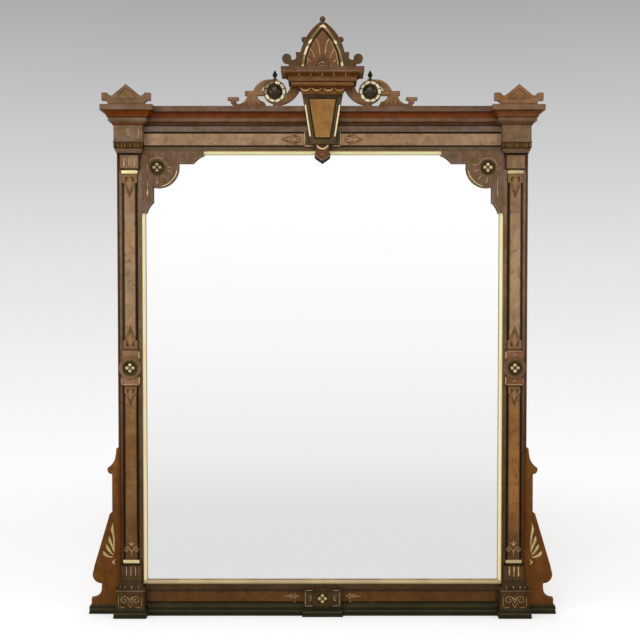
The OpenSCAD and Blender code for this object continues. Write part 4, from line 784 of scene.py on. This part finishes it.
def leaf(surface, x, z, d, way, size, spread, rise, root=True):
    """A carved leaf from its root at x, z, pointing along way (an angle in degrees). Its blade widens to two
    shoulders and then tapers to a point, with a ridge down the middle. A narrower blade lies on it between
    two grooves, which are raised ribbons painted dark as painted shade, a hook curls at each side of the
    root, and a knob sits on each shoulder. With root it grows out of a plate as wide as its shoulders, with
    a raised spot painted dark inside each hook as painted shade for its eye."""
    out, side = polar(0, 0, 1, way), polar(0, 0, 1, way + 90)

    def put(u, v):
        """Points in the frame from shares of the size along the leaf and out to its side."""
        u, v = np.broadcast_arrays(u, v)
        return (x, z) + size * (u[..., None] * out + v[..., None] * spread * side)

    def ridge(v):
        """A section with a ridge down its middle, that falls away to 0.35 and steeply at its edges."""
        return (0.35 + 0.65 * (1 - np.abs(v)) ** 0.8) * np.sqrt(np.maximum(0, 1 - v ** 8))

    t, broad, r = eased(48), size * spread, 0.058 * size
    surface.ribbon(put(t, 0), d, np.interp(t, *BLADE) * broad, rise * 0.55, ridge, around=28)
    inner = broad * 0.12 * (1 - t) * rounded(48, 30)
    middle = put(0.34 + 0.48 * t, 0)
    surface.ribbon(middle, d + rise * 0.2, inner, rise * 0.6, ridge, sink=rise * 0.4, around=20)
    if root:
        plate = broad * 0.3 * rounded(48, 40)
        surface.ribbon(put(0.35 * t, 0), d, plate, rise * 0.45, sink=4.0, around=20, relief=0.42)
    for s in (-1, 1):
        if root:
            # A raised spot painted dark inside the hook: painted shade for the eye.
            painted_shade_eye = put(0.12 + 0.15 * t, s * 0.135)
            surface.ribbon(painted_shade_eye, d, size * 0.04 * rounded(48, 2), rise * 0.75, around=12, relief=0.0)
        for points, half, up, relief in MARKS:
            u, v = np.transpose(points)
            path, half = curve(put(u, s * v), 32), size * half * rounded(32, 12)
            surface.ribbon(path, d, half, rise * up, sink=0.6, around=10, relief=relief)
        knob = [(0, rise, .62), (0.5 * r, rise * 0.9, .58), (0.85 * r, rise * 0.55, .5), (r, 0, .3),
                (r, -5, .2), (0, -5, .2)]
        surface.turned(*put(0.33, s * 0.25), d, knob, 20)


# The leaves of a pilaster: the height of the root, the way that it points and its size.
PILASTER_LEAVES = ((1394.1, -90, 78.0), (842.5, 90, 76.0), (727.5, -90, 64.0))


class PIER_OT_leaves(bpy.types.Operator):
    """Carves the leaves on the pilasters, the frieze and the base"""
    bl_idname = "pier.leaves"
    bl_label = "Carved leaves"

    def execute(self, context):
        rise = context.scene.pier_sizes.leaf_relief / MM
        upright, across, gilt = Surface(), Surface(), Surface()
        for z, way, size in PILASTER_LEAVES:
            leaf(upright, PILASTER_X, z, PANEL_D, way, size, 1.0, rise)
        upright.reflect().build("pilaster_leaves", "leaf", "walnut", ["leaf_drops"])
        leaf(across, 69.0, FRIEZE_Z, SPANDREL_D, 0, 62.0, 1.08, rise, root=False)
        leaf(across, 84.0, BASE_Z, BASE_D, 0, 44.0, 0.66, rise, root=False)
        across.turned(88.0, 43.0, BASE_D, [(0, 4.5, .3), (2.6, 4.0, .25), (4.4, 2.0, .2), (5.0, 0, .1),
                                           (5.0, -2, 0), (0, -2, 0)], 20)
        across.reflect().build("frieze_leaves", "leaf_gold", "walnut", ["leaf_drops"])
        for s in (-1, 1):
            barbs = [[(73, 7), (82, 4.5), (91, 0)], [(98, 6.5), (106, 3), (114, 0)]]
            gild(gilt, lay(barbs, 0, FRIEZE_Z, up=s), 46.6, 0.8)
            gild(gilt, lay([[(74, 0), (81, 3), (90, 9.5)]], 0, BASE_Z, up=s), 43.4, 0.8)
        gild(gilt, [[(92, FRIEZE_Z), (122, FRIEZE_Z)]], 46.2, 0.7)
        gild(gilt, [[(88, BASE_Z), (122, BASE_Z)]], 45.0, 0.6)
        gilt.reflect().build("leaf_veins", "gold_line")
        return {"FINISHED"}


class PIER_OT_scrolls(bpy.types.Operator):
    """Turns the dark bosses of the two scrolls, gilds the ring of lengths round them and their brackets"""
    bl_idname = "pier.scrolls"
    bl_label = "Scroll bosses and rings"

    def execute(self, context):
        r = context.scene.pier_sizes.boss_radius / MM
        x, z, d = SCROLL_X, SCROLL_Z, SCROLL_D
        boss, rim, ring, worn, lines = (Surface() for _ in range(5))
        dome = [(r * math.sin(a), 8.0 + 13.0 * math.cos(a), 1.0) for a in np.linspace(0, np.pi / 2, 16)]
        boss.turned(x, z, d, dome + [(r, 6.5, .6), (r * 0.93, 5.5, .3), (r * 0.93, 3.0, .3), (r, 2.0, .5),
                                     (r, -0.5, 0), (0, -0.5, 0)], 64)
        rim.turned(x, z, d, [(r + 0.3, -0.5, 0), (r + 0.3, 1.0, 0), (r + 9.9, 1.0, 0), (r + 10.4, 0.6, 0),
                             (r + 10.6, -0.5, 0), (r + 0.3, -0.5, 0)], 64)
        for k in range(RING_LENGTHS):
            for side in (-1, 1):
                middle = k * 360 / RING_LENGTHS
                piece = worn if side < 0 and k in (3, 4, 5) else ring
                path = arc(side * x, z, RING_RADIUS, middle - RING_HALF, middle + RING_HALF, 24)
                piece.ribbon(path, d + 0.6, 4.8 * rounded(24, 12), 3.0, around=14)
        gild(lines, lay([[(40, -4), (64, -3.2), (86, -4)], [(117, -21), (130, -20.5), (142, -21)]], x, z)
             + [arc(x + 17.6, z - 15, 50.6, 22, 92)], d, 0.9)
        rays = [[(62, -15), (56, -26), (46, -38)], [(69, -15), (66, -28), (63, -40)],
                [(76, -15), (79, -28), (81, -40)], [(83, -15), (90, -28), (98, -39)]]
        gild(lines, lay(rays, x, z), d, 0.5, 0.7)
        boss.reflect().build("scroll_domes", "black_polished", "ebonised", ["scroll_bosses"])
        rim.reflect().build("scroll_rims", "black", "ebonised")
        ring.build("scroll_ring_lengths", "gold_ring", "gilt", ["scroll_rings"])
        worn.build("scroll_ring_worn", "gold_worn")
        lines.reflect().build("bracket_gilding", "gold_faint")
        return {"FINISHED"}


class PIER_OT_finials(bpy.types.Operator):
    """Turns the ball finials of the gable and the spires on the scrolls"""
    bl_idname = "pier.finials"
    bl_label = "Balls and spires"

    def execute(self, context):
        r = context.scene.pier_sizes.ball_radius / MM
        a = np.linspace(0, np.pi, 24)
        ball = np.stack([r * np.sin(a), -r * np.cos(a)], axis=-1)
        balls, spires = Surface(), Surface()
        balls.upright(57.0, 1807.8, FINIAL_D, ball)
        balls.reflect()
        balls.upright(0.0, 1871.0, FINIAL_D, ball * (1, 0.98))
        balls.upright(0.0, 1859.8, FINIAL_D, [(0, 0), (5.0, 0), (5.3, 1.2), (3.8, 2.4), (4.0, 4.5), (0, 4.5)])
        spires.upright(SCROLL_X, 1684.5, 48.0, [
            (0, -0.5), (8.2, -0.5), (8.4, 1.6), (7.4, 3.0), (4.2, 3.8), (3.2, 5.6), (3.5, 7.6), (5.4, 9.4),
            (7.5, 13.0), (7.7, 15.0), (6.8, 18.5), (4.7, 22.5), (2.6, 26.5), (1.0, 29.6), (0, 30.8)])
        balls.build("ball_finials", "balls", "walnut", ["turned_finials"])
        spires.reflect().build("scroll_spires", "black", "ebonised", ["turned_finials"])
        return {"FINISHED"}


# Incised lines of the gable panel, x and height over the hood in mm.
GABLE_LINES = ([(7.5, 51), (9, 61.5), (10.5, 75), (14, 87), (18.5, 96), (23.5, 101.5)],
               [(22, 101.5), (27.5, 90.5), (33, 80), (38.5, 68.5)],
               [(23.5, 40), (27, 50), (32, 60.5), (35, 65), (38.5, 68.5)],
               [(38.5, 68.5), (43, 54), (46, 40.5), (48.5, 18.5)],
               [(35, 27.5), (40, 33), (47, 36)])


class PIER_OT_gable(bpy.types.Operator):
    """Gilds the rays of the gable panel and carves the shell at its foot"""
    bl_idname = "pier.gable"
    bl_label = "Gable gilding"

    def execute(self, context):
        z = GABLE_Z
        bright, faint, shell = Surface(), Surface(), Surface()
        gild(bright, lay(GABLE_LINES, 0, z), GABLE_D, 1.3)
        gild(faint, lay(GABLE_LINES, 0, z, -1), GABLE_D, 0.9)
        gild(bright, fan(0, z + 14, 9, 17, (90,)) + fan(0, z + 14, 11, 15, (40, 66, 114, 140)), 64.2, 0.9)
        dots(bright, [(u, z + 15) for u in (-26, -13, 13, 26)] + [(-6, z + 16), (6, z + 16)], 63.8, 1.5)
        for u in (0.92, 0.74, 0.56, 0.38):
            rib = (0, z + 14) + arc(0, 0, 22 * u, 2, 178, 60) * (1, 1.35)
            shell.ribbon(rib, GABLE_D, 2.6 * rounded(60, 20), 2.2 - u, relief=0.5 - 0.3 * u)
        bright.build("gable_gilding", "gold_line")
        faint.build("gable_gilding_dull", "gold_dull")
        shell.build("gable_shell", "shell", "walnut")
        return {"FINISHED"}


class PIER_OT_keystone(bpy.types.Operator):
    """Gilds the hood, the scallops, the tablet and the pendant"""
    bl_idname = "pier.keystone"
    bl_label = "Keystone gilding"

    def execute(self, context):
        bold, thin = Surface(), Surface()
        for k in range(5):
            x = -72.0 + 35.6 * k
            dots(thin, [(x, 1690.0)], face("hood", x, 1690.0), 2.0)
            slope = np.linspace(face("hood", x, 1688), face("hood", x, 1683.5), 40)
            gild(thin, [[(x, 1688.0), (x, 1683.5)]], slope, 0.8)
        for k in range(4):
            scallop = arc((k - 1.5) * 35.125, 1663.8, 19.0, 214, 326)
            gild(bold if k < 3 else thin, [scallop], front("scallop_band"), 0.8)
        for s in (-1, 1):
            gild(thin, [np.linspace((s * 56, 1523), (s * 56, 1479.5), 16),
                        np.linspace((s * 56, 1479.5), (s * 27, 1479.5), 16)], LABEL_D, 1.4)
        gild(bold, [arc(0, 1487.0, 18.0, 196, 344)], KEYSTONE_D, 1.9)
        gild(thin, both([[(0, 1434.5), (11, 1440.5), (21, 1448)]], 0, 0), KEYSTONE_D, 0.45)
        gild(thin, fan(0, 1447, 3.5, 9, (50, 90, 130)), KEYSTONE_D, 0.5)
        bold.build("keystone_gilding", "gold_bold")
        thin.build("tablet_gilding", "gold_line")
        return {"FINISHED"}


class PIER_OT_capitals(bpy.types.Operator):
    """Gilds the capitals' necks and the reeded blocks, and carves the acroteria over them"""
    bl_idname = "pier.capitals"
    bl_label = "Capitals"

    def execute(self, context):
        left, right, carved = Surface(), Surface(), Surface()
        x, z, d = PILASTER_X, HEAD_Z, front("acroterion_right")
        for k in range(3):
            gild(left, both([[(4.6, 3.4), (1, -2.2)]], -x, 1528.0 - 8.6 * k), NECK_D, 0.95)
        hook = [(33, 1534), (33, 1520), (33.4, 1508), (29.5, 1503), (26.5, 1506)]
        gild(left, lay([hook], -x, 0), NECK_D, 0.9)
        reeds = [[(u, 1441), (u, 1429), (u, 1417)] for u in (-16, 0, 16)]
        gild(left, lay(reeds, -x, 0), REEDED_D, 1.0, 1.1)
        gild(right, lay(reeds, x, 0), REEDED_D, 0.6, 0.6)
        gild(right, [spiral(x + s * 24, 1529, 9.5, 90 + s * 60, s * 0.9) for s in (-1, 1)], NECK_D, 0.5)
        gild(right, both([[(2, 1501), (5, 1512), (14, 1518), (26, 1515), (35, 1506), (37, 1498)],
                          [(38, 1536), (39, 1527), (37.5, 1516)], [(12, 1505), (20, 1508), (26, 1502)],
                          [(0, 1519), (4.5, 1526), (10.5, 1532), (10, 1537)]], x, 0), NECK_D, 0.5)
        gild(right, [[(x, 1509), (x, 1520), (x, 1534)]], NECK_D, 0.6)
        left.build("capital_gilding", "gold_line")
        right.build("capital_gilding_dull", "gold_faint")
        for edge in both([[(25.5, 18.3), (13, 30.8), (0, 43.6)]], x, z):
            carved.ribbon(curve(edge, 24), d - 3.0, 1.5 * rounded(24, 20), 1.4, relief=0.95)
        for foot in both([[(26, 18), (11, 18)]], x, z):
            carved.ribbon(curve(foot, 16), d - 3.0, 1.2 * rounded(16, 20), 0.9, relief=0.2)
        carved.ribbon(arc(x, z + 14.5, 8.4, 4, 176, 48), d, 1.3 * rounded(48, 20), 1.3, relief=0.95)
        for ray in fan(x, z + 14.5, 1.5, 6.6, (20, 55, 90, 125, 160)):
            carved.ribbon(curve(ray, 20), d, 1.2 * bud(20, 0.7), 1.3, relief=0.75)
        carved.reflect().build("acroterion_carving", "carved_walnut", "walnut")
        return {"FINISHED"}


class PIER_OT_spandrels(bpy.types.Operator):
    """Gilds the rays round the spandrel rosettes"""
    bl_idname = "pier.spandrels"
    bl_label = "Spandrel gilding"

    def execute(self, context):
        lines, bead = Surface(), Surface()
        x, z, d = SPANDREL_X, SPANDREL_Z, SPANDREL_D
        gild(lines, [arc(-x, z, 30.6, *ends) for ends in ((58, 140), (160, 198), (4, 42))], d, 0.6)
        rays = ((-x, 32, 42, 0), (-x, 33, 43, -17), (-x, 33, 47, -50), (x, 34, 50, 168), (x, 30, 49, 196),
                (x, 30, 49, 231), (x, 31, 49, 266))
        for middle, inner, outer, angle in rays:
            gild(lines, fan(middle, z, inner, outer, (angle,)), d, 0.8)
        gild(lines, fan(-x, z, 33, 50, (270,)), d, 0.8, 1.2)
        dots(lines, [polar(-x, z, 47, -18), polar(-x, z, 52, -50)], d, 1.4)
        gild(lines, [arc(x, z, 29.5, -20, 160)], d, 0.7)
        gild(lines, both([[(x + 30.5, z - 39), (x + 30.5, z - 92)]], 0, 0), d, 0.7)
        for drop in both([[(x + 30.5, z - 62), (x + 30.5, z - 75), (x + 30.5, z - 87)]], 0, 0):
            lines.ribbon(curve(drop), d, 2.4 * bud(40, 0.7), 0.9, around=8)
        gild(bead, [arc(x + 1, z + 4, 64.7, 192, 256)], d, 1.2)
        lines.build("spandrel_gilding", "gold_line")
        bead.reflect().build("spandrel_bead", "gold_bold")
        return {"FINISHED"}


class PIER_OT_pilasters(bpy.types.Operator):
    """Gilds the medallion blocks, the palmettes and the fluted blocks"""
    bl_idname = "pier.pilasters"
    bl_label = "Pilaster gilding"

    def execute(self, context):
        lines, edges, palmette, bars, bright = (Surface() for _ in range(5))
        x, z, d = PILASTER_X, PALMETTE_Z, PANEL_D
        stems = [[(0, -3), (4, 3), (9.5, 12)], [(0, 14), (4, 21), (9.5, 25)], [(9.5, 12), (13, 13), (17, 11)]]
        gild(palmette, [[(x, z - 15), (x, z - 2)]] + both(stems, x, z), d, 1.3)
        gild(palmette, [spiral(x + s * 15, z + 4, 7.6, 90, -s * 1.1) for s in (-1, 1)], d, 1.1)
        palmette.ribbon(curve([(x, z + 15), (x, z + 24), (x, z + 34)]), d, 3.0 * bud(40, 0.4), 1.0)
        for k in (-14.5, 0, 14.5):
            gild(bars, [[(k - x, 128), (k - x, 158)]], FLUTED_D, 1.25)
            gild(bright, [[(x + k, 126), (x + k, 159)]], FLUTED_D, 2.1)
        z, d = MEDALLION_Z, MEDALLION_D
        gild(edges, lay([[(-28, 29), (-28, 51)], [(-28, -29), (-28, -51)]], x, z), d, 1.1)
        gild(lines, lay([[(27, -31), (27, -51)], [(-26, -52.5), (26, -52.5)]], x, z), d, 0.7)
        lines.reflect()
        gild(lines, lay([[(-25, 53), (25, 53)], [(27, 31), (27, 51)]], x, z), d, 0.6)
        gild(lines, fan(x, z + 34, 4, 12, (60, 90, 120)) + fan(x, z - 46, 3, 10, (60, 90, 120)), d, 0.5)
        lines.build("medallion_gilding", "gold_line")
        edges.reflect().build("medallion_edges", "gold_bold")
        palmette.reflect().build("palmette_gilding", "gold_faint")
        bars.build("fluted_gilding", "gold_dull")
        bright.build("fluted_gilding_bright", "gold_worn")
        return {"FINISHED"}


# One volute of the plinth's scroll block: x from the middle of the block and z, in mm.
HORN = [(0, 47), (3, 52), (5, 58), (9, 64.5), (17, 67.5), (25, 64.5), (28.5, 57.5), (25, 50.5), (17.5, 48.5),
        (12, 52.5), (13, 57.5), (17.5, 58.5), (19, 55.5)]


class PIER_OT_plinths(bpy.types.Operator):
    """Gilds the scroll blocks of the plinths"""
    bl_idname = "pier.plinths"
    bl_label = "Plinth gilding"

    def execute(self, context):
        lines, ticks = Surface(), Surface()
        x = PILASTER_X
        gild(lines, both([HORN], x, 0), PLINTH_D)
        strokes = [[(36.5, 67), (36.5, 37)], [(34, 32.5), (17, 32.5)], [(0, 32.9), (4.4, 40), (8.2, 48)],
                   [(2, 57), (8, 67)]]
        gild(lines, [[(x, 56), (x, 68)]] + both(strokes, x, 0), PLINTH_D, 0.8)
        for u, wide in ((18, 1.0), (-3.3, 1.3), (-25, 0.6), (33, 0.5)):
            ends = [face("plinth_block_right", x + u, z) for z in (98, 90.5)]
            gild(ticks, [[(x + u, 98), (x + u, 90.5)]], np.linspace(*ends, 40), wide)
        ticks.reflect().build("plinth_ticks", "gold_dull")
        lines.reflect().build("plinth_gilding", "gold_faint")
        return {"FINISHED"}


# The leaves of a wing spray: points, half width and where it is fullest.
SPRAY = (([(662, 198), (662, 228), (664, 252), (667.5, 270), (664.5, 292)], 4.0, 0.74),
         ([(664, 256), (667, 266), (672.5, 273)], 1.7, 0.6),
         ([(661.5, 196), (667, 214), (674.5, 233), (677.5, 250)], 4.8, 0.72),
         ([(663, 188), (672, 196), (681.5, 210), (687, 224)], 4.6, 0.72),
         ([(665, 181), (678, 183), (690, 190), (697, 201)], 5.4, 0.72),
         ([(657.5, 175.5), (662, 169), (669, 165.3)], 2.4, 0.6),
         ([(659, 157), (662.5, 162), (669, 165.3)], 2.4, 0.6))


class PIER_OT_wings(bpy.types.Operator):
    """Gilds the sprays of leaves on the wings"""
    bl_idname = "pier.wings"
    bl_label = "Wing sprays"

    def execute(self, context):
        def hollow(v):
            """The section of a leaf: a half round, lower towards its middle."""
            return np.sqrt(1 - v * v) * (0.6 + 0.4 * abs(v))

        spray = Surface()
        for points, widest, fullest in SPRAY:
            half = widest * np.interp(eased(40), [0, 0.04, fullest, 1], [0, 0.2, 1, 0])
            spray.ribbon(curve(points), WING_D, half, 1.2, hollow)
        spray.reflect().build("wing_sprays", "gold_wing")
        return {"FINISHED"}


class PIER_OT_base(bpy.types.Operator):
    """Gilds the tablet of the base"""
    bl_idname = "pier.base"
    bl_label = "Base gilding"

    def execute(self, context):
        lines = Surface()
        z, d = TABLET_Z, TABLET_D
        gild(lines, [np.linspace((54, z + 24), (54, z - 24), 16)], d, 0.7)
        gild(lines, [np.linspace((54, z + v), (30, z + v), 16) for v in (-24.5, 24.5)], d, 0.7)
        gild(lines, fan(30, z, 4, 14, (0, 38, -38)), d, 0.7, 0.8)
        lines.reflect().build("base_gilding", "gold_dull")
        return {"FINISHED"}


# Stage

# The lamps: name, place, aim, width and share of the power.
LAMPS = (("lamp_top", (-0.4, -3.0, 3.3), (0, 0, 1.1), 2.4, 1.0),
         ("lamp_left", (-3.0, -2.8, 1.4), (0, 0, 0.9), 1.8, 0.55),
         ("lamp_right", (3.2, -2.4, 2.0), (0, 0, 1.0), 1.8, 0.3))


class PIER_OT_stage(bpy.types.Operator):
    """Sets the floor, the soft light, the pale background and the camera"""
    bl_idname = "pier.stage"
    bl_label = "Floor, light and camera"

    def execute(self, context):
        stage = context.scene.pier_stage
        self.floor(tuple(stage.floor))
        self.sky(context.scene, stage.sky)
        self.lamps(stage.lamps)
        self.camera(context.scene)
        return {"FINISHED"}

    def lamps(self, power):
        """Large round lamps, each turned to its aim. The mirror plate is left out of their light, so that it
        shows the room alone."""
        unlit = bpy.data.collections.new("not_lit_by_lamps")
        unlit.objects.link(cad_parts["mirror_plate"])
        unlit.collection_objects[0].light_linking.link_state = "EXCLUDE"
        for name, place, aim, size, share in LAMPS:
            light = bpy.data.lights.new(name, "AREA")
            light.shape, light.size, light.energy = "DISK", size, power * share
            lamp = placed(name, light)
            way = np.subtract(aim, place)
            lamp.location = place
            lamp.rotation_euler = (math.pi - math.acos(way[2] / np.linalg.norm(way)), 0,
                                   math.atan2(way[1], way[0]) - math.pi / 2)
            lamp.light_linking.receiver_collection = unlit

    def camera(self, scene):
        """Three and a half metres in front of the frame, above its middle, tipped down 1.8 degrees."""
        data = bpy.data.cameras.new("camera")
        data.sensor_width, data.lens = 36.0, 62.69
        scene.camera = placed("camera", data)
        scene.camera.location = (-0.00785, -3.47575, 1.0455)
        scene.camera.rotation_euler = (math.radians(90 - 1.8), 0, 0)

    def floor(self, pale):
        """A pale round floor of rings and spokes that fades away towards its rim."""
        r, a = np.linspace(0, 4, 9)[:, None], circle(96)
        ground = np.stack([r * np.cos(a), r * np.sin(a), 0 * r * a], axis=-1)
        mesh = bpy.data.meshes.new("floor")
        mesh.from_pydata(ground.reshape(-1, 3).tolist(), [], joined(9, 96).tolist())
        material = bpy.data.materials.new("floor")
        material.use_nodes = True
        sheet = Sheet(material.node_tree)
        x, y, z = sheet.axes()
        seen, glossy = sheet.rays()
        plain = sheet.node("ShaderNodeBsdfDiffuse", None, Color=pale)
        glow = sheet.node("ShaderNodeEmission", None, Color=(1, 1, 1), Strength=0.40 * seen)
        lit = sheet.node("ShaderNodeAddShader", None, plain, glow)
        shown = sheet.node("ShaderNodeEmission", None, Color=tone(222, 222, 222), Strength=1.0)
        body = sheet.node("ShaderNodeMixShader", None, glossy, lit, shown)
        clear = sheet.node("ShaderNodeBsdfTransparent")
        away = (x * x + y * y) ** 0.5
        sheet.end(sheet.node("ShaderNodeMixShader", None, away.between(1.0, 3.2), body, clear))
        mesh.materials.append(material)
        placed("floor", mesh)

    def sky(self, scene, strength):
        """Even soft light. The camera and the mirror see a grey that pales towards the floor."""
        world = bpy.data.worlds.new("studio")
        world.use_nodes = True
        scene.world = world
        sheet = Sheet(world.node_tree)
        across, _, rise = sheet.axes("Generated")
        seen, glossy = sheet.rays()

        def greys(stops):
            """A grey for each rise of a ray, from stops of a rise and a display grey."""
            low, high = stops[0][0], stops[-1][0]
            even = [((s - low) / (high - low), tone(g, g, g)) for s, g in stops]
            return sheet.node("ShaderNodeValToRGB", {"stops": even}, (rise - low) / (high - low))

        behind = greys([(-0.23, 255), (-0.15, 251), (-0.07, 241), (0.04, 224), (0.14, 201), (0.25, 169)])
        facing = greys([(-0.26, 223), (-0.147, 237), (-0.049, 247), (0.06, 255)])
        facing = sheet.mix((across * across).between(0.04, 0.5), facing, sheet.tint(facing, 0.45, 0.45, 0.45))
        facing = sheet.mix(rise.between(0.16, 0.6), facing, tone(150, 150, 150))
        light = sheet.mix(seen, sheet.mix(glossy, (strength,) * 3, facing), behind)
        sheet.end(sheet.node("ShaderNodeBackground", None, light, 1.0), "ShaderNodeOutputWorld")


class PIER_PT_panel(bpy.types.Panel):
    """Lists the settings and the steps of the pier mirror"""
    bl_idname = "PIER_PT_panel"
    bl_label = "Pier Mirror"
    bl_space_type = "VIEW_3D"
    bl_region_type = "UI"
    bl_category = "Pier Mirror"

    def draw(self, context):
        for group in GROUPS:
            box = self.layout.box()
            settings = getattr(context.scene, group)
            for name in settings.__annotations__:
                box.prop(settings, name)
        for step in STEPS:
            self.layout.operator(step.bl_idname)


GROUPS = {"pier_sizes": PierSizes, "pier_colours": PierColours, "pier_stage": PierStage}
STEPS = (PIER_OT_carcase, PIER_OT_rosettes, PIER_OT_leaves, PIER_OT_scrolls, PIER_OT_finials,
         PIER_OT_gable, PIER_OT_keystone, PIER_OT_capitals, PIER_OT_spandrels, PIER_OT_pilasters,
         PIER_OT_plinths, PIER_OT_wings, PIER_OT_base, PIER_OT_stage)


def register():
    for kind in (*GROUPS.values(), *STEPS, PIER_PT_panel):
        bpy.utils.register_class(kind)
    for name, kind in GROUPS.items():
        setattr(bpy.types.Scene, name, PointerProperty(type=kind))


def unregister():
    for name in GROUPS:
        delattr(bpy.types.Scene, name)
    for kind in (*GROUPS.values(), *STEPS, PIER_PT_panel):
        bpy.utils.unregister_class(kind)


def main():
    register()
    for step in STEPS:
        group, name = step.bl_idname.split(".")
        getattr(getattr(bpy.ops, group), name)()
    bpy.context.scene.view_settings.view_transform = "Standard"


if __name__ == "__main__":
    main()
